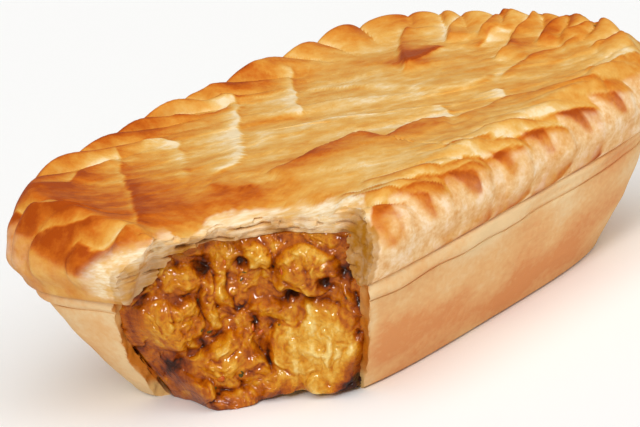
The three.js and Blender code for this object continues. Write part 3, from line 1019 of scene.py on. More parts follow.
# Place along the grain and across it, width, depth and browning of each patch
BAKED_PATCHES = (
    BakedPatch(-58, -24, 16, 26, 0.4), BakedPatch(-59, -31, 8, 12, 0.16), BakedPatch(-40, -28, 12, 14, 0.24),
    BakedPatch(-44, 12, 20, 7, 0.34), BakedPatch(-10, 35, 17, 8, 0.28),
    BakedPatch(22, 32, 5, 6, 0.42), BakedPatch(-9, -20, 9, 5, 0.3),
    BakedPatch(12, -17, 10, 4, 0.16), BakedPatch(42, -4, 14, 12, 0.12),
    BakedPatch(50, 28, 14, 10, 0.2), BakedPatch(-24, -33, 12, 5, 0.3),
    BakedPatch(-2, 10, 22, 9, -0.04), BakedPatch(-25, 2, 8, 10, -0.1),
    BakedPatch(12, -38, 16, 8, 0.06), BakedPatch(-12, 8.4, 6.5, 1.8, 0.34),
    BakedPatch(-21.6, 18.2, 5, 1.6, 0.22), BakedPatch(2, 38, 8, 12, -0.14),
    BakedPatch(-18, -14, 8, 3, -0.16), BakedPatch(-4, -31, 14, 5, -0.14),
)


@dataclass(frozen=True)
class RimHooks:
    """Browned ends of the near rim's crimps that hang over its side, by run along the rim and height."""

    places: tuple[float, ...] = (274.6, 288.4, 301.5, 314.0, 327.3, 339.6)
    widths: tuple[float, ...] = (1.6, 2.4, 1.6, 1.7, 1.6, 2.0)
    drop: float = 2.4
    height: float = 34.3
    offset: float = 3.2
    lean: float = 0.35
    line_span: tuple[float, float] = (-6.0, 10.5)
    line_run: tuple[float, ...] = (-18.0, -12.0, -5.0, 0.0, 5.0, 9.5, 11.0)
    line_height: tuple[float, ...] = (40.2, 39.6, 38.5, 37.9, 36.8, 35.3, 34.4)
    plain_line: float = 37.2
    lobe_place: tuple[float, float] = (265.0, 35.0)
    lobe_size: tuple[float, float] = (4.8, 4.4)
    # A pale spot inside the first lobe: a painted highlight
    highlight_place: tuple[float, float] = (267.4, 34.4)
    highlight_size: tuple[float, float] = (2.0, 1.8)
    highlight_strength: float = 0.75

    def at(self, run: Array, z: Array) -> tuple[Array, Array]:
        """Find the hooks at places on the rim.

        Args:
            run: How far round the rim.
            z: Height.

        Returns:
            How much of a hook covers each place, and how far below the glaze it lies.
        """
        hook, edge = self.first_lobe(run, z), np.full_like(run, FAR)
        foot = self.height - self.drop
        for place, width in zip(self.places, self.widths):
            along = run - place
            line = np.interp(along, self.line_run, self.line_height)
            beside = (along > self.line_span[0]) & (along < self.line_span[1])
            edge = np.minimum(edge, np.where(beside, line, FAR))
            down = np.clip((line - z) / (line - foot), 0.0, 1.0)
            side = along - self.offset - self.lean * (self.height - z)
            half = width * (1.4 - 0.9 * down)
            wedge = ease(half - side, -0.3, 0.5) * ease(side + half, -1.4, 1.2)
            wedge = wedge * ease(z, foot - 0.5, foot + 1.0)
            hook = np.maximum(hook, wedge * ease(line - z, -0.3, 0.3) * (1.0 - 0.3 * down))
        return hook, np.where(edge == FAR, self.plain_line, edge) - z

    def first_lobe(self, run: Array, z: Array) -> Array:
        """Return how much of the round lobe beside the bite covers each place, left pale in a painted
        highlight.
        """
        def apart(place: tuple[float, float], size: tuple[float, float]) -> tuple[Array, Array]:
            """Return distances from a place, over a size."""
            return (run - place[0]) / size[0], (z - place[1]) / size[1]

        # Painted highlight: a pale spot lifted out of the lobe's browning
        along, up = apart(self.highlight_place, self.highlight_size)
        lobe = ease(np.hypot(*apart(self.lobe_place, self.lobe_size)), 1.15, 0.7)
        return lobe * (1.0 - self.highlight_strength * np.exp(-along ** 2 - up ** 2))


@dataclass
class PuffLid:
    """The glazed lid: plateau of flakes, rope of crimps, rolled rim and torn corner."""

    steps: int = 660
    bite: Bite = Bite(*BITE_AT, reach_x=28.5, reach_y=47, squareness=2.3, lean=0.5, torn=1.1,
                      tongues=(Tongue(63, 13, 0.8), Tongue(-4, 12, 8.6)))
    leaf_cut: Carve = Carve(leaves=9, foot=31.0, top=42.0, ragged=0.5, grain=1.0,
                            setback_degrees=(-14, 4, 12, 22, 35, 48, 60, 70, 80, 92, 104),
                            setback=(0.0, 0.0, 1.5, 4.5, 5.5, 3.5, 0.0, -2.4, -3.2, -3.2, -2.0))
    cut_heights: tuple[float, float, float] = (20.0, 52.0, 0.36)
    cut_steps: int = 260
    crimp_rise: float = 3.4
    crimp_dent: float = 1.7
    far_side_lift: float = 2.2
    far_end_lift: float = 0.6
    slant_share: tuple[float, ...] = (
        0.0, 0.09, 0.18, 0.33, 0.4, 0.435, 0.55, 0.62, 0.66, 0.86, 0.92, 1.0)
    slant: tuple[float, ...] = (1.1, 0.0, 2.1, 2.1, 1.2, -1.4, -1.4, 0.0, 2.1, 2.1, 1.2, 1.1)
    first_left_crimp: int = 4
    last_left_crimp: int = 19
    hooks: RimHooks = RimHooks()
    crest_inset: float = 4.0
    crimp_reach: float = 16.0
    sag_degrees: tuple[float, ...] = (-14, 10, 30, 45, 60, 75, 90, 104)
    sag: tuple[float, ...] = (2.0, 3.0, 3.5, 4.0, 5.5, 7.0, 6.5, 5.0)
    sag_reach: float = 8.0
    plain_bake: float = 0.36
    honey_bake: float = 0.46
    glaze_run: tuple[float, ...] = (150.0, 168.0, 173.0, 180.0, 188.0, 197.0, 206.0)
    glaze_height: tuple[float, ...] = (35.5, 36.5, 39.0, 37.0, 34.0, 31.6, 31.0)
    peel_degrees: tuple[float, ...] = (-14, 6, 10, 15, 22, 28, 32, 40, 45, 52, 58, 62, 104)
    peel: tuple[float, ...] = (0.0, 0.0, 0.6, 2.6, 3.4, 2.4, 0.8, 0.8, 2.2, 3.4, 1.6, 0.3, 0.2)
    skin_y: tuple[float, ...] = (-6.0, 0.0, 5.0, 9.5, 12.0)
    skin_height: tuple[float, ...] = (37.5, 36.8, 35.8, 33.0, 28.0)
    sharp_degrees: float = 55.0
    finish: PuffCrust = PuffCrust()
    # Size, inset and height of each row, and its shares of the crimps' dent, their rise and the far lift
    rows: tuple[tuple[float, ...], ...] = (
        (0.0, 11.0, 32.5, 0, 0, 0), (0.5, 11.0, 32.5, 0, 0, 0), (1, 11.0, 32.5, 0, 0, 0),
        (1, 8.2, 25.05, 0, 0, 0), (1, 2.6, 25.05, 0, 0, 0), (1, 1.0, 27.7, 0.12, 0, 0),
        (1, 0.0, 31.2, 0.4, 0, 0), (1, 0.5, 34.2, 0.7, 0, 0), (1, 1.5, 37.0, 1, 0.4, 0.4),
        (1, 3.2, 39.5, 0.6, 0.8, 0.9), (1, 5.4, 41.6, 0, 1, 1), (1, 8.0, 41.4, 0, 0.75, 0.8),
        (1, 11.0, 40.9, 0, 0.4, 0.7), (1, 14.0, 40.5, 0, 0.15, 0.6), (1, 17.5, 40.2, 0, 0, 0.6),
        (1, 20.0, 40.2, 0, 0, 0.6), (0.5, 20.0, 40.3, 0, 0, 0.6), (0.0, 20.0, 40.5, 0, 0, 0.6))
    counts: tuple[int, ...] = (3, 4, 4, 4, 5, 7, 6, 6, 6, 6, 6, 7, 7, 7, 5, 20, 20)

    def lobe(self, share: Array, inset: Array) -> tuple[Array, Array]:
        """Shape the rope of crimps.

        Args:
            share: Share of the way round the rim.
            inset: How far inside the rim.

        Returns:
            The crimp's height, about -0.55 to 0.45, and how far across it each place is.
        """
        x, y = OUTLINE.at_share(np.mod(share, 1.0), np.zeros_like(share), 0.0, OUTLINE.rim_squareness)
        slant = np.interp(np.mod(share, 1.0), self.slant_share, self.slant)
        _, _, girth = OUTLINE.table()
        held = np.minimum(inset, self.crimp_reach) - self.crest_inset
        place = OUTLINE.crimp(share + slant * held / girth)
        number = np.floor(place)
        leftward = (number >= self.first_left_crimp) & (number <= self.last_left_crimp)
        across = np.where(leftward, place - number, 1.0 - place + number)
        cell = np.stack([number, number * 0, number * 0], axis=1).astype(np.int64)
        strength = 1.0 + 0.3 * cell_value(cell, 5)
        flat = ease(-y, 20.0, 40.0) * ease(x, -50.0, -30.0) + ease(-x, 52.0, 60.0) * ease(y, 28.0, 20.0)
        flat = flat + 0.6 * ease(x, 53.0, 60.0) * ease(y, -24.0, -14.0)
        shape = np.sin(np.pi * np.clip(across, 0.0, 1.0) ** 0.78) ** 0.55 - 0.55
        return shape * strength * (1.0 - 0.75 * flat), across

    def relief(self, x: Array, y: Array) -> tuple[Array, Array, Array]:
        """Shape the flakes on the plateau.

        Args:
            x: Places along the pie.
            y: Places across it.

        Returns:
            Height in millimetres, and how much cream and how much browning show at broken edges.
        """
        a, b = grain_axes(x, y)
        a_torn = a + 0.8 * noise_of(41, b / 3.0, a / 8.0) + 0.25 * noise_of(42, b / 1.2, a / 4.0)
        b_torn = b + 0.8 * noise_of(43, a / 4.0, b / 8.0) + 0.3 * noise_of(44, a / 1.6, b / 4.0)
        inset, _ = OUTLINE.locate(x, y)
        height = 0.1 * noise_of(45, a / 16.0, b / 4.5) + 0.5 * noise_of(47, a / 14.0, b / 10.0)
        for long, wide, seed in FLAKE_SIZES:
            value, across = flakes(a, b, long, wide, seed)
            height += wide * (0.014 * value - 0.016 * across)
        height *= ease(inset, 6.0, 13.0)
        cream, tan, pale = np.zeros_like(a), np.zeros_like(a), np.zeros_like(a)
        for edge in FLAKE_EDGES:
            gap, fade = edge.measure(a + edge.ragged * (a_torn - a), b + edge.ragged * (b_torn - b))
            above, below = np.maximum(gap, 0.0), np.minimum(gap, 0.0)
            lift = ease(gap, -0.9, 0.9) * np.exp(-above / edge.reach)
            height += 0.75 * edge.rise * lift * fade
            bared = edge.cream * fade * ease(gap, -0.3, 0.5) * np.exp(-above / edge.cream_reach)
            cream = np.maximum(cream, bared)
            browned = edge.tan * fade * ease(gap, -0.3, 0.3) * np.exp(-above / edge.tan_reach)
            tan = np.maximum(tan, browned)
            # Pale bands: partly less browned folds, partly painted highlight on the lips
            pale += edge.pale * fade * ease(gap, 0.3, -0.3) * np.exp(below / edge.pale_reach)
        return height, cream, tan - np.minimum(pale, 0.6)

    def place(self, row: Array, share: Array) -> Array:
        """Place the lid's vertices.

        Args:
            row: Row number of each vertex.
            share: Share of the way round of each vertex.

        Returns:
            Positions in millimetres.
        """
        table = fill_rows(np.array(self.rows, dtype=float), self.counts)
        scale, inset, z, dent, rise, lift = table[row].T
        lobe, _ = self.lobe(share, inset)
        wobble = noise_of(48, share * 60.0, z / 4.0) * 0.5 * ease(z, 24.0, 30.0)
        inset = inset + self.crimp_dent * dent * (0.45 - lobe) + wobble * (scale > 0.99)
        x, y = OUTLINE.at_share(share, inset, 0.0, OUTLINE.rim_squareness)
        x, y = x * scale, y * scale
        z = z + self.crimp_rise * rise * lobe
        z = z + lift * (self.far_side_lift * y / OUTLINE.half_width
                        + self.far_end_lift * np.maximum(0.0, x / OUTLINE.half_length) ** 2)
        height, _, _ = self.relief(x, y)
        upward = ease(inset, 0.8, 3.6) * ease(z, 33.0, 37.0)
        sideways = 0.95 * height * (1.0 - upward) * ease(z, 27.0, 32.0) * (scale > 0.99)
        x, y = OUTLINE.at_share(share, inset - sideways, 0.0, OUTLINE.rim_squareness)
        x, y, z = x * scale, y * scale, z + height * upward
        degrees, outside = self.bite.depth(np.stack([x, y, z], axis=1))
        far = np.maximum(outside - self.leaf_cut.setback_at(degrees), 0.0)
        sink = np.interp(degrees, self.sag_degrees, self.sag) * np.exp(-far / self.sag_reach)
        return np.stack([x, y, z - sink * ease(z, 33.0, 39.0)], axis=1)

    def build(self) -> bpy.types.Object:
        """Build the lid, tear its corner off and dress it."""
        mesh = roll_tube(sum(self.counts) + 1, self.steps, "puff_lid")
        row, share, _ = tube_places(mesh)
        write_points(mesh, self.place(row, share))
        piece = link_piece("puff_lid", mesh)
        heights = np.arange(*self.cut_heights)
        cut = bite_off(piece, self.bite.cutter("lid_bite", heights, self.cut_steps, self.leaf_cut))
        self.dress(piece, cut)
        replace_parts(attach(piece, "root"), "pastry_lid")
        return piece

    def dress(self, piece: bpy.types.Object, cut: Array) -> None:
        """Work out browning with its painted shade and highlights, tears and stains, and give the lid its
        finish.

        Args:
            piece: The lid.
            cut: Share of each vertex's faces that the bite made.
        """
        mesh = piece.data
        points = read_points(mesh)
        bake_and_painted_light, bare = self.brown(mesh, points)
        torn, stain = self.tear(points, cut)
        write_layer(mesh, "bake_and_painted_light", bake_and_painted_light)
        write_layer(mesh, "bare", bare)
        write_layer(mesh, "torn", torn)
        write_layer(mesh, "stain", stain)
        mesh.shade_smooth()
        mesh.set_sharp_from_angle(angle=math.radians(self.sharp_degrees))
        mesh.materials.append(self.finish.material())

    def ragged(self, share: Array, z: Array) -> Array:
        """Return the waver of edges on the rim's side."""
        return 0.3 * noise_of(52, share * 120.0, z / 2.5)

    def brown(self, mesh: bpy.types.Mesh, points: Array) -> tuple[Array, Array]:
        """Work out how the oven browned the lid, with painted shade and highlights laid into the browning.

        Args:
            mesh: The lid's mesh.
            points: Its vertices in millimetres.

        Returns:
            Browning with its painted shade and highlights, and where the rim's side is bare dough without
            glaze.
        """
        x, y, z = points.T
        a, b = grain_axes(x, y)
        inset, share = OUTLINE.locate(x, y)
        _, across = self.lobe(share, inset)
        _, cream, tan = self.relief(x, y)
        normals = read_normals(mesh)
        # Painted shade and light by facing: rim flanks that face back brown more, flanks that face the front
        # stay paler
        away = ACROSS_GRAIN[0] * normals[:, 0] + ACROSS_GRAIN[1] * normals[:, 1]
        top = ease(z, 36.0, 39.5) * ease(normals[:, 2], 0.0, 0.4)
        rim = ease(inset, 15.0, 6.0)
        near = ease(-y, 22.0, 38.0) * ease(x, -48.0, -40.0)
        back = ease(y, 12.0, 30.0)
        left = ease(x, -48.0, -58.0) * ease(y, 40.0, 20.0)
        valley = np.exp(-((1.0 - across) / 0.2) ** 2)
        crest = 0.22 * np.exp(-(across / 0.42) ** 2) - 0.16 * valley
        bake_and_painted_light = self.plain_bake + sum(patch.at(a, b) for patch in BAKED_PATCHES)
        # The away term is that painted shade and light by facing
        bake_and_painted_light += rim * (1.0 - near) * (0.06 + crest * (1.0 - left) + (0.25 - 0.15 * left) * away + 0.2 * back)
        for long, wide, seed in FLAKE_SIZES:
            value, across_flake = flakes(a, b, long, wide, seed)
            bake_and_painted_light += 0.05 * value + 0.03 * across_flake
        _, _, girth = OUTLINE.table()
        hook, below = self.hooks.at(share * girth, z)
        bake_and_painted_light += near * (0.38 * hook * ease(inset, 6.0, 3.5) - 0.04)
        bake_and_painted_light += tan - 0.6 * cream * top + 0.4 * np.minimum(swell_of(mesh, 6), 0.0)
        glaze = np.interp(share * girth, self.glaze_run, self.glaze_height)
        glaze = glaze + 1.6 * valley * (1.0 - left)
        under = (1.0 - near) * (glaze - z) + near * below
        unglazed = ease(under + self.ragged(share, z), -0.5, 1.2)
        bake_and_painted_light += left * unglazed * (self.honey_bake - bake_and_painted_light)
        bare = unglazed * (1.0 - hook * near) * (1.0 - 0.85 * left)
        bare = bare * (1.0 - np.clip(2.6 * tan, 0.0, 1.0))
        return bake_and_painted_light, bare * ease(inset, 9.0, 6.0)

    def tear(self, points: Array, cut: Array) -> tuple[Array, Array]:
        """Work out where the lid is torn and where sauce has soaked in.

        Args:
            points: The lid's vertices in millimetres.
            cut: Share of each vertex's faces that the bite made.

        Returns:
            How much torn crumb and how much sauce shows.
        """
        x, y, z = points.T
        a, b = grain_axes(x, y)
        _, share = OUTLINE.locate(x, y)
        ragged = self.ragged(share, z)
        degrees, outside = self.bite.depth(points)
        gap = outside - self.leaf_cut.setback_at(degrees)
        margin = np.interp(degrees, self.peel_degrees, self.peel) * (0.9 + 0.5 * noise_of(55, degrees / 6.0))
        peel = ease(gap + 1.4 * noise_of(53, a / 3.0, b / 1.2), margin + 0.7, margin - 0.7)
        torn = np.maximum(cut, peel * ease(z, 30.0, 33.0) * (degrees > 5) * (degrees < 100))
        skin_edge = np.interp(y, self.skin_y, self.skin_height)
        bared = ease(skin_edge - z + 3.0 * ragged, -1.2, 1.6) * (degrees > 72.0) * ease(z, 26.0, 27.0)
        bared *= ease(outside + 4.0 * ragged, 10.5, 3.5)
        height = z - 3.0 * ease(degrees, 20.0, 6.0) + 2.5 * noise_of(54, x / 4, y / 4, z / 3)
        wet = ease(height, 36.5, 32.0) * (1.0 - 0.4 * ease(degrees, 66.0, 80.0))
        return np.maximum(torn, bared), np.maximum(cut, 0.8 * (outside < 1.5)) * wet


@dataclass
class ShortcrustCase:
    """The leaning case: floor, wall and the flange that carries the lid."""

    steps: int = 520
    bite: Bite = Bite(*BITE_AT, reach_x=29.5, reach_y=51.5, squareness=2, lean=0.28, torn=0.35,
                      tongues=(Tongue(-4, 12, 10.5),), lean_along=0.165)
    crumble: Carve = Carve(ragged=0.45, grain=1.1)
    cut_heights: tuple[float, float, float] = (-4.0, 32.0, 0.5)
    cut_steps: int = 220
    outer_spans: int = 9
    flange_height: float = 23.4
    lip_height: float = 22.0
    worn_height: float = 22.9
    worn_depth: float = 0.9
    plain_toast: float = 0.28
    sharp_degrees: float = 50.0
    finish: Shortcrust = Shortcrust()
    # Size, inset and height of each row, from the underside up the wall and down inside
    rows: tuple[tuple[float, ...], ...] = (
        (0, 14.0, 0.0), (1, 14.0, 0.0), (1, 12.83, 0.54), (1, 12.2, 1.8), (1, 6.95, 11.5),
        (1, 3.7, 20.2), (1, 3.6, 21.4), (1, 2.4, 22.3), (1, 2.2, 23.6), (1, 2.9, 25.0),
        (1, 6.06, 25.05), (1, 15.14, 5.2), (1, 16.64, 4.2), (0, 16.64, 4.2))
    counts: tuple[int, ...] = (8, 3, 4, 26, 22, 5, 5, 5, 6, 4, 24, 3, 8)

    def place(self, row: Array, share: Array) -> Array:
        """Place the case's vertices.

        Args:
            row: Row number of each vertex.
            share: Share of the way round of each vertex.

        Returns:
            Positions in millimetres.
        """
        table = fill_rows(np.array(self.rows, dtype=float), self.counts)
        scale, inset, z = table[row].T
        outer = row <= sum(self.counts[:self.outer_spans])
        flange = np.exp(-((z - self.flange_height) / 2.2) ** 2) * outer
        ripple = 0.35 * noise_of(61, share * 45.0, z / 3.0) + 0.45 * noise_of(62, share * 14.0, z / 14.0)
        inset = inset + ripple * outer * ease(z, 0.5, 3.0) * (0.5 + flange)
        _, _, girth = OUTLINE.table()
        worn = ease(share * girth, 290.0, 318.0) * ease(share * girth, 400.0, 380.0)
        inset = inset + self.worn_depth * np.exp(-((z - self.worn_height) / 1.2) ** 2) * worn * outer
        x, y = OUTLINE.at_share(share, inset, OUTLINE.end_inset, OUTLINE.squareness(z))
        z = z + 0.8 * noise_of(63, share * 34.0) * np.exp(-((z - self.lip_height) / 1.6) ** 2) * outer
        return np.stack([x * scale, y * scale, np.maximum(z, 0.0)], axis=1)

    def build(self) -> bpy.types.Object:
        """Build the case, bite its corner off and dress it."""
        mesh = roll_tube(sum(self.counts) + 1, self.steps, "shortcrust_case")
        row, share, _ = tube_places(mesh)
        write_points(mesh, self.place(row, share))
        piece = link_piece("shortcrust_case", mesh)
        heights = np.arange(*self.cut_heights)
        cut = bite_off(piece, self.bite.cutter("case_bite", heights, self.cut_steps, self.crumble))
        self.dress(piece, cut)
        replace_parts(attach(piece, "root"), "pastry_case")
        return piece

    def dress(self, piece: bpy.types.Object, cut: Array) -> None:
        """Work out toasting, painted shade in the grooves, and stains, and give the case its finish.

        Args:
            piece: The case.
            cut: Share of each vertex's faces that the bite made.
        """
        mesh = piece.data
        points = read_points(mesh)
        x, y, z = points.T
        _, outside = self.bite.depth(points)
        toast_and_shade = self.plain_toast + 0.44 * ease(z, 18.0, 10.0) * ease(x, -52.0, -42.0) * ease(x, 62.0, 25.0)
        toast_and_shade += 0.32 * noise_of(71, x / 12.0, y / 12.0, z / 5.0) - 0.25 * ease(outside, 5.0, 0.0)
        # Painted shade: the grooves near the top of the wall come out toastier and darker
        crease = np.minimum(swell_of(mesh, 10), 0.0)
        crease = crease * ease(z, 18.0, 20.0) * (1.2 + 1.8 * noise_of(73, x / 9.0, y / 9.0))
        toast_and_shade -= crease * ease(outside, 0.0, 16.0)
        toast_and_shade += 0.15 * ease(-x, 55.0, 62.0)
        inner = ease(z, 3.0, 5.0) * (cut > 0)
        stain = cut * (0.95 + 0.5 * noise_of(72, x / 3.0, y / 3.0, z / 3.0)) * inner
        write_layer(mesh, "toast_and_shade", toast_and_shade)
        write_layer(mesh, "torn", cut)
        write_layer(mesh, "stain", stain)
        mesh.shade_smooth()
        mesh.set_sharp_from_angle(angle=math.radians(self.sharp_degrees))
        mesh.materials.append(self.finish.material())


@dataclass(frozen=True)
class Lump:
    """One lump or hollow in the bitten face, by its place along the face, its height and its size."""

    along: float
    z: float
    out: float
    wide: float
    high: float
    bulge: float = 2.0
    pale: float = 0.0
    turn: float = 0.0
    strands: float = 0.0


@dataclass
class CurryFilling:
    """The filling: sauce right through the pie, and the chunks that show at the bite."""

    bite: Bite = Bite(*BITE_AT, reach_x=28, reach_y=46, squareness=2, lean=0)
    rows: int = 300
    columns: int = 250
    front: float = 0.84
    bottom: float = 0.05
    top: float = 33.0
    setback: float = 4.0
    plain_tone: float = 0.56
    # The core's tone is dark: painted shade for the sauce seen only through gaps behind the face
    core_tone: float = 0.2
    left_heights: tuple[float, ...] = (0.0, 2.0, 7.0, 18.0, 24.0, 26.0, 33.0)
    left_edge: tuple[float, ...] = (0.19, 0.17, 0.12, 0.05, 0.07, 0.15, 0.22)
    right_heights: tuple[float, ...] = (0.0, 5.2, 25.0, 25.6, 33.0)
    right_insets: tuple[float, ...] = (13.0, 12.0, 4.0, 4.4, 7.4)
    wrap_heights: tuple[float, ...] = (0.0, 7.0, 18.0, 24.0, 29.0)
    wrap: tuple[float, ...] = (10.0, 8.5, 5.2, 2.6, 1.0)
    wrap_share: float = 0.16
    foot_along: tuple[float, ...] = (0.1, 0.22, 0.27, 0.34, 0.4, 0.47, 0.53, 0.62, 0.75, 0.95)
    foot_out: tuple[float, ...] = (0.0, 2.0, 3.6, 3.8, 2.6, 0.6, -0.6, -1.8, -1.4, -1.0)
    foot_rise: tuple[float, ...] = (0.0, 0.0, 0.0, 0.0, 0.0, 0.2, 0.6, 1.6, 0.9, 1.0)
    blend: float = 2.2
    core_setback: float = 3.2
    core_steps: int = 200
    core_counts: tuple[int, ...] = (3, 3, 10, 2, 5, 3)
    bit_heights: tuple[float, float] = (4.0, 29.0)
    bit_margin: float = 0.04
    bit_start: float = 14.0
    bit_meat_limit: float = 0.4
    # Size, inset and height of each row of the core
    core_rows: tuple[tuple[float, ...], ...] = (
        (0, 19, 4.4), (1, 19, 4.4), (1, 16.7, 6.0), (1, 6.3, 24.9), (1, 8.5, 25.2),
        (1, 11.3, 32.4), (0, 11.3, 32.4))
    chunks: tuple[Lump, ...] = (
        Lump(0.7, 9.6, -1.2, 10.8, 9.8, bulge=3.4, pale=1.0, turn=72, strands=0.4),
        Lump(0.415, 8.8, -0.4, 7.6, 5.8, bulge=3.6, pale=0.15, turn=12, strands=0.3),
        Lump(0.2, 18.0, -1.2, 8.8, 6.0, bulge=3.2, pale=0.1, turn=-14, strands=0.35),
        Lump(0.715, 26.0, -0.8, 7.4, 5.6, bulge=3.2, pale=0.22, turn=20, strands=0.15),
        Lump(0.28, 26.8, -1.2, 7.5, 3.0, bulge=2.2, pale=0.05, turn=-8, strands=0.3),
        Lump(0.395, 21.5, -1.0, 1.8, 6.0, pale=0.15), Lump(0.45, 22.0, -1.0, 1.8, 5.5, bulge=1.8, pale=0.15),
        Lump(0.571, 29.0, -0.6, 2.8, 3.0, bulge=2.4, pale=0.5, turn=60, strands=0.4),
        Lump(0.838, 20.5, -1.4, 3.6, 6.5), Lump(0.289, 1.6, 0.2, 7.0, 3.8, bulge=2.6),
        Lump(0.42, 1.2, 0.8, 5.0, 2.8, bulge=2.2, pale=0.1), Lump(0.557, 3.6, -0.4, 4.2, 4.2, bulge=2.2),
        Lump(0.511, 14.4, -1.6, 4.2, 4.4, bulge=2.2), Lump(0.6, 18.3, -1.2, 4.8, 2.8, pale=0.1),
        Lump(0.2, 5.5, -1.6, 4.5, 5.0, bulge=1.8), Lump(0.245, 3.4, 1.4, 3.0, 2.2, bulge=1.8),
        Lump(0.225, 0.8, 1.2, 2.4, 1.8, bulge=1.6))
    # Pits pressed into the face, each also given painted shade
    hollows: tuple[Lump, ...] = (
        Lump(0.24, 9.2, 3.2, 3.4, 3.0), Lump(0.395, 28.0, 2.2, 1.5, 2.4), Lump(0.516, 28.3, 2.0, 1.3, 1.6),
        Lump(0.653, 20.3, 1.2, 4.4, 0.9), Lump(0.768, 23.2, 1.6, 1.8, 1.3), Lump(0.858, 28.8, 2.0, 1.8, 1.9),
        Lump(0.835, 25.5, 2.0, 1.5, 3.2), Lump(0.857, 19.5, 1.6, 1.1, 3.0), Lump(0.79, 2.6, 1.2, 2.4, 2.2),
        Lump(0.53, 15.0, 1.0, 1.2, 2.6), Lump(0.335, 13.5, 1.0, 1.3, 2.2), Lump(0.555, 9.0, 1.0, 0.9, 3.0))

    def angle_of(self, along: Array) -> Array:
        """Return the direction from the bite's middle, in radians, at shares of the face's length."""
        return np.radians((1.0 - along) * 90.0)

    def face_point(self, along: float, z: float, out: float) -> tuple[Vector, float]:
        """Find a place on the bitten face.

        Args:
            along: Share of the way from the face's left end to its right.
            z: Height.
            out: How far in front of the face.

        Returns:
            The place in millimetres, and the direction the face looks from, in radians.
        """
        angle = self.angle_of(np.array([along]))
        x, y = self.bite.point(angle, out)
        facing = math.atan2(self.bite.reach_x * math.sin(angle[0]),
                            self.bite.reach_y * math.cos(angle[0]))
        return Vector((x[0], y[0], z)), facing

    def reach(self, z: Array) -> tuple[Array, Array]:
        """Return the shares of the face's length that lie inside the pastry at each height."""
        along = np.linspace(0.5, 1.0, 401)
        x, y = self.bite.point(self.angle_of(along))
        inset, _ = OUTLINE.locate(x, y)
        wall = np.interp(z, self.right_heights, self.right_insets)
        return np.interp(z, self.left_heights, self.left_edge), np.interp(-wall, -inset, along)

    def run_of(self, along: Array | float) -> Array:
        """Return the length of the face, in millimetres, up to each share of it."""
        shares = np.linspace(-0.2, 1.2, 701)
        x, y = self.bite.point(self.angle_of(shares))
        run = np.concatenate([[0.0], np.cumsum(np.hypot(np.diff(x), np.diff(y)))])
        return np.interp(along, shares, run)

    def surface(self, along: Array, z: Array) -> tuple[Array, Array, Array]:
        """Shape the bitten face.

        Args:
            along: Share of the way from the face's left end to its right.
            z: Height.

        Returns:
            How far in front of the plain face each place lies, how much it is pale meat, and how
            much painted shade falls in its crevices.
        """
        run = self.run_of(along)
        u = run + 1.5 * noise_of(83, run / 4.0, z / 4.0) + 0.5 * noise_of(85, run / 1.6, z / 1.6)
        v = z + 1.5 * noise_of(84, run / 4.0, z / 4.0) + 0.5 * noise_of(86, run / 1.6, z / 1.6)
        out = 0.8 * noise_of(87, run / 11.0, z / 9.0) - 0.9
        out = out + np.interp(along, self.foot_along, self.foot_out) * ease(z, 6.0, 0.5)
        out = out + 1.2 * ease(along, 0.78, 0.88) * ease(z, 18.0, 26.0)
        meat, dark = np.zeros_like(run), np.zeros_like(run)
        for number, chunk in enumerate(self.chunks):
            side, up = u - self.run_of(chunk.along), v - chunk.z
            lumpy = 0.25 * noise_of(100 + number, run / 4.6, z / 4.6)
            size = np.maximum(np.hypot(side / chunk.wide, up / chunk.high) + lumpy, 0.0)
            dome = chunk.out + chunk.bulge * np.sqrt(np.clip(1.0 - size ** 2.4, 0.0, 1.0))
            dome = dome - 3.0 * np.maximum(size - 1.0, 0.0)
            turn = math.radians(chunk.turn)
            across = up * math.cos(turn) - side * math.sin(turn)
            ridge = np.abs(np.sin(across * 1.1 + 3.0 * lumpy)) - 0.6
            ridge = ridge * ease(noise_of(160 + number, run / 3.0, z / 3.0), -0.5, 0.4)
            dome = dome + 1.6 * chunk.strands * ridge * ease(size, 1.05, 0.8)
            out = np.logaddexp(self.blend * out, self.blend * dome) / self.blend
            # Painted shade in the crevice round each chunk
            dark = np.maximum(dark * ease(size, 0.8, 1.0), np.exp(-((size - 1.08) / 0.14) ** 2))
            meat = np.maximum(meat, chunk.pale * ease(size, 1.05, 0.7))
        knob = 1.7 * np.abs(noise_of(81, u / 4.6, v / 4.0)) + 1.0 * np.abs(noise_of(82, u / 2.3, v / 2.1))
        knob = knob + 0.5 * np.abs(noise_of(89, u / 1.1, v / 1.0))
        out = out + (knob - 0.9) * (1.0 - 0.5 * meat)
        # Painted shade in the creases between knobs, less on meat
        dark = 0.4 * dark + 0.3 * ease(knob, 0.6, 0.1) * (1.0 - 0.6 * meat)
        for hollow in self.hollows:
            side, up = u - self.run_of(hollow.along), v - hollow.z
            share = np.minimum(np.exp(-(side / hollow.wide) ** 2 - (up / hollow.high) ** 2), 1.0)
            out = out - hollow.out * share
            # Painted shade in each hollow
            dark = np.maximum(dark, share)
        return out, meat, dark

    def build_core(self) -> bpy.types.Object:
        """Build the sauce that runs through the pie, up to just behind the bitten face."""
        mesh = roll_tube(sum(self.core_counts) + 1, self.core_steps, "filling_core")
        row, share, _ = tube_places(mesh)
        scale, inset, z = fill_rows(np.array(self.core_rows, dtype=float), self.core_counts)[row].T
        end_inset = OUTLINE.end_inset * (1 - ease(z, 25.3, 31.2))
        x, y = OUTLINE.at_share(share, inset, end_inset, OUTLINE.squareness(z))
        write_points(mesh, np.stack([x * scale, y * scale, z], axis=1))
        piece = link_piece("filling_core", mesh)
        deeper = Bite(*BITE_AT, self.bite.reach_x + self.core_setback,
                      self.bite.reach_y + self.core_setback, self.bite.squareness, self.bite.lean)
        bite_off(piece, deeper.cutter("core_bite", np.arange(-4.0, 50.0, 3.0), 90, Carve(ragged=0.2)))
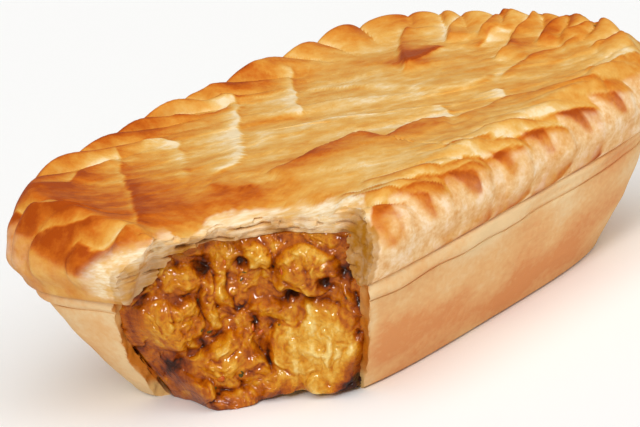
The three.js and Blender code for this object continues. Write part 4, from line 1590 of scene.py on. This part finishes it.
        # The core's dark tone is painted shade
        for name, value in (("raised", self.core_tone), ("meat", 0.0), ("crevice_shade", 0.0)):
            write_layer(piece.data, name, np.full(len(piece.data.vertices), value))
        piece.data.shade_smooth()
        piece.data.materials.append(BALTI.material())
        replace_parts(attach(piece, "root"), "filling")
        return piece

    def build_face(self) -> bpy.types.Object:
        """Build the bitten face: a closed slab whose front is chunks and lumps in one wet mass."""
        mesh = roll_tube(self.rows, self.columns, "balti_face")
        row, share, rim = tube_places(mesh)
        level = np.where(share < self.front, share / self.front, (1.0 - share) / (1.0 - self.front))
        z = np.where(rim > 0.5, self.bottom + (self.top - self.bottom) * level, 0.5 * self.top)
        low, high = self.reach(z)
        along = low + (high - low) * np.clip((row - 1) / (self.rows - 3), 0.0, 1.0)
        z = z + np.interp(along, self.foot_along, self.foot_rise) * ease(z, 5.0, 0.0)
        out, meat, crevice_shade = self.surface(along, z)
        end = np.minimum(row, self.rows - 1 - row)
        out = out - 3.0 * ease(end, 9.0, 1.0) ** 2
        out = np.where((share < self.front) & (rim > 0.5), out, -self.setback)
        x, y = self.bite.point(self.angle_of(along), out)
        back = np.interp(z, self.wrap_heights, self.wrap) * ease(along - low, self.wrap_share, 0.0)
        write_points(mesh, np.stack([x + SIGHT[0] * back, y + SIGHT[1] * back, z], axis=1))
        self.turn_outward(mesh)
        piece = link_piece("balti_face", mesh)
        # Painted shade and highlight: bumps lighter and crevices darker by how far they stand out, with the
        # face darker at its ends, its top and bottom edges and near the floor
        near, wide = swell_of(mesh, 5), swell_of(mesh, 40)
        inner = ease(end, 3.0, 18.0) * ease(z, 0.6, 3.0) * ease(self.top - z, 0.5, 2.5)
        raised = self.plain_tone + (0.62 * near + 0.14 * wide) * inner - 0.1 * (1.0 - inner)
        write_layer(mesh, "raised", raised - 0.1 * ease(z, 6.0, 1.0))
        # The last layer holds the painted shade of crevices and hollows; meat gives way to it
        write_layer(mesh, "meat", meat * (1.0 - crevice_shade) * (share < self.front))
        write_layer(mesh, "crevice_shade", 0.5 * crevice_shade)
        mesh.shade_smooth()
        mesh.materials.append(BALTI.material())
        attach(piece, "root")
        return piece

    def turn_outward(self, mesh: bpy.types.Mesh) -> None:
        """Make the faces of a closed mesh look outward."""
        bm = bmesh.new()
        bm.from_mesh(mesh)
        if bm.calc_volume(signed=True) < 0.0:
            bmesh.ops.reverse_faces(bm, faces=bm.faces)
        bm.to_mesh(mesh)
        bm.free()

    def scatter(self, name: str, count: int, seed: int, long: tuple[float, float], thin: float,
                finish: Vegetable) -> bpy.types.Object:
        """Press small pieces into the bitten face.

        Args:
            name: Name of the piece.
            count: How many there are.
            seed: Picks their places.
            long: Smallest and largest length.
            thin: Thickness over length.
            finish: Their finish.

        Returns:
            One object with all of them.
        """
        rng = np.random.default_rng(seed)
        face = bpy.data.objects["balti_face"]
        bm = bmesh.new()
        placed = 0
        while placed < count:
            z = rng.uniform(*self.bit_heights)
            low, high = self.reach(np.array([z]))
            along = rng.uniform(low[0] + self.bit_margin, high[0] - self.bit_margin)
            start, facing = self.face_point(along, z, self.bit_start)
            ahead = Vector((math.cos(facing), math.sin(facing), 0.0))
            length = rng.uniform(*long)
            turn = rng.uniform(-math.pi, math.pi)
            hit, place, normal, _ = face.ray_cast(start * MM, ahead)
            _, meat, _ = self.surface(np.array([along]), np.array([z]))
            if not hit or meat[0] > self.bit_meat_limit:
                continue
            placed += 1
            made = bmesh.ops.create_icosphere(bm, subdivisions=2, radius=1.0)["verts"]
            shape = Matrix.Diagonal((length * thin, length, length * rng.uniform(0.4, 0.8), 1.0))
            pose = normal.to_track_quat("X", "Z").to_matrix().to_4x4() @ Matrix.Rotation(turn, 4, "X")
            bmesh.ops.transform(bm, verts=made, matrix=Matrix.Translation(place) @ pose
                                @ Matrix.Scale(MM, 4) @ shape)
        for vert in bm.verts:
            spot = np.array([vert.co / MM]) / 1.1
            vert.co += Vector(noise(spot + shift, 97)[0] for shift in (0, 9, 18)) * 0.3 * MM
        mesh = bpy.data.meshes.new(name)
        bm.to_mesh(mesh)
        bm.free()
        piece = link_piece(name, mesh)
        mesh.shade_smooth()
        mesh.materials.append(finish.material())
        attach(piece, "root")
        return piece

    def build_pepper(self) -> bpy.types.Object:
        """Build the bits of red pepper."""
        return self.scatter("red_pepper_bits", 5, 3, (0.6, 1.3), 0.4, RED_PEPPER)

    def build_herbs(self) -> bpy.types.Object:
        """Build the flecks of chopped herb."""
        return self.scatter("herb_flecks", 10, 8, (0.3, 0.7), 0.35, HERB)


@dataclass(frozen=True)
class Lamp:
    """A soft far light: its source, strength, spread in degrees, and whether wet food mirrors it."""

    name: str
    source: tuple[float, float, float]
    strength: float
    spread: float
    glints: bool = False


@dataclass
class Studio:
    """Pale floor, soft light and a camera at the photograph's angle."""

    camera_place: tuple[float, float, float] = (-491.02, -420.75, 221.20)
    aim: tuple[float, float, float] = (0.71874, 0.63039, -0.29505)
    azimuth: float = 49.2918
    elevation: float = 18.926
    roll: float = -9.158
    lens: float = 187.27
    film_width: float = 36.0
    floor_half: float = 4.0
    sky: float = 0.28
    sky_tint: tuple[float, float, float, float] = (1.0, 0.99, 0.97, 1.0)
    lamps: tuple[Lamp, ...] = (Lamp("top", (-0.2, -0.3, 1.0), 1.6, 70.0),
                               Lamp("key", (-0.9, -0.35, 0.6), 1.1, 14.0, True),
                               Lamp("fill", (0.35, -0.85, 0.45), 0.45, 40.0))

    def build(self) -> None:
        """Set up floor, light and camera."""
        self.build_floor()
        self.build_light()
        self.build_camera()

    def build_floor(self) -> None:
        """Lay a large pale floor under the pie."""
        bm = bmesh.new()
        bmesh.ops.create_grid(bm, x_segments=8, y_segments=8, size=self.floor_half)
        mesh = bpy.data.meshes.new("floor")
        bm.to_mesh(mesh)
        bm.free()
        floor = link_piece("floor", mesh)
        art = Shader("pale_floor")
        art.feed("Base Color", art.ramp(art.noise((900, 900, 900), 1),
                                        ((0.0, Colour(250, 250, 249)), (1.0, Colour(253, 253, 252)))))
        art.set(Roughness=0.9, Specular_IOR_Level=0.1)
        mesh.materials.append(art.material)
        floor.visible_glossy = False

    def build_light(self) -> None:
        """Hang soft lights round the pie under a white sky."""
        scene = bpy.context.scene
        scene.view_settings.view_transform = "Standard"
        world = bpy.data.worlds.new("studio")
        world.use_nodes = True
        glow = world.node_tree.nodes["Background"]
        glow.inputs["Color"].default_value = self.sky_tint
        glow.inputs["Strength"].default_value = self.sky
        scene.world = world
        for lamp in self.lamps:
            light = bpy.data.lights.new(lamp.name, "SUN")
            light.energy = lamp.strength
            light.angle = math.radians(lamp.spread)
            sun = bpy.data.objects.new(lamp.name, light)
            sun.rotation_euler = Vector(lamp.source).to_track_quat("Z", "Y").to_euler()
            sun.visible_glossy = lamp.glints
            scene.collection.objects.link(sun)

    def build_camera(self) -> None:
        """Stand the camera where the photograph was taken from."""
        az, el, roll = (math.radians(v) for v in (self.azimuth, self.elevation, self.roll))
        ahead = Vector(self.aim).normalized()
        right = Vector((math.cos(az), -math.sin(az), 0.0))
        level = Vector((math.sin(az) * math.cos(el), math.cos(az) * math.cos(el), -math.sin(el)))
        upright = right.cross(level)
        up = upright * math.cos(roll) - right * math.sin(roll)
        up = (up - ahead * up.dot(ahead)).normalized()
        across = ahead.cross(up)
        lens = bpy.data.cameras.new("camera")
        lens.sensor_fit = "HORIZONTAL"
        lens.sensor_width = self.film_width
        lens.lens = self.lens
        camera = bpy.data.objects.new("camera", lens)
        turn = Matrix((across, up, -ahead)).transposed().to_4x4()
        camera.matrix_world = Matrix.Translation(Vector(self.camera_place) * MM) @ turn
        bpy.context.scene.collection.objects.link(camera)
        bpy.context.scene.camera = camera


def main() -> None:
    """Build the pie and its studio, and note its size."""
    logging.basicConfig(level=logging.INFO, format="%(message)s")
    Studio().build()
    filling = CurryFilling()
    for make in (ShortcrustCase().build, PuffLid().build, filling.build_core, filling.build_face,
                 filling.build_pepper, filling.build_herbs):
        piece = make()
        piece.data.calc_loop_triangles()
        log.info("%s: %d triangles", piece.name, len(piece.data.loop_triangles))


if __name__ == "__main__":
    main()
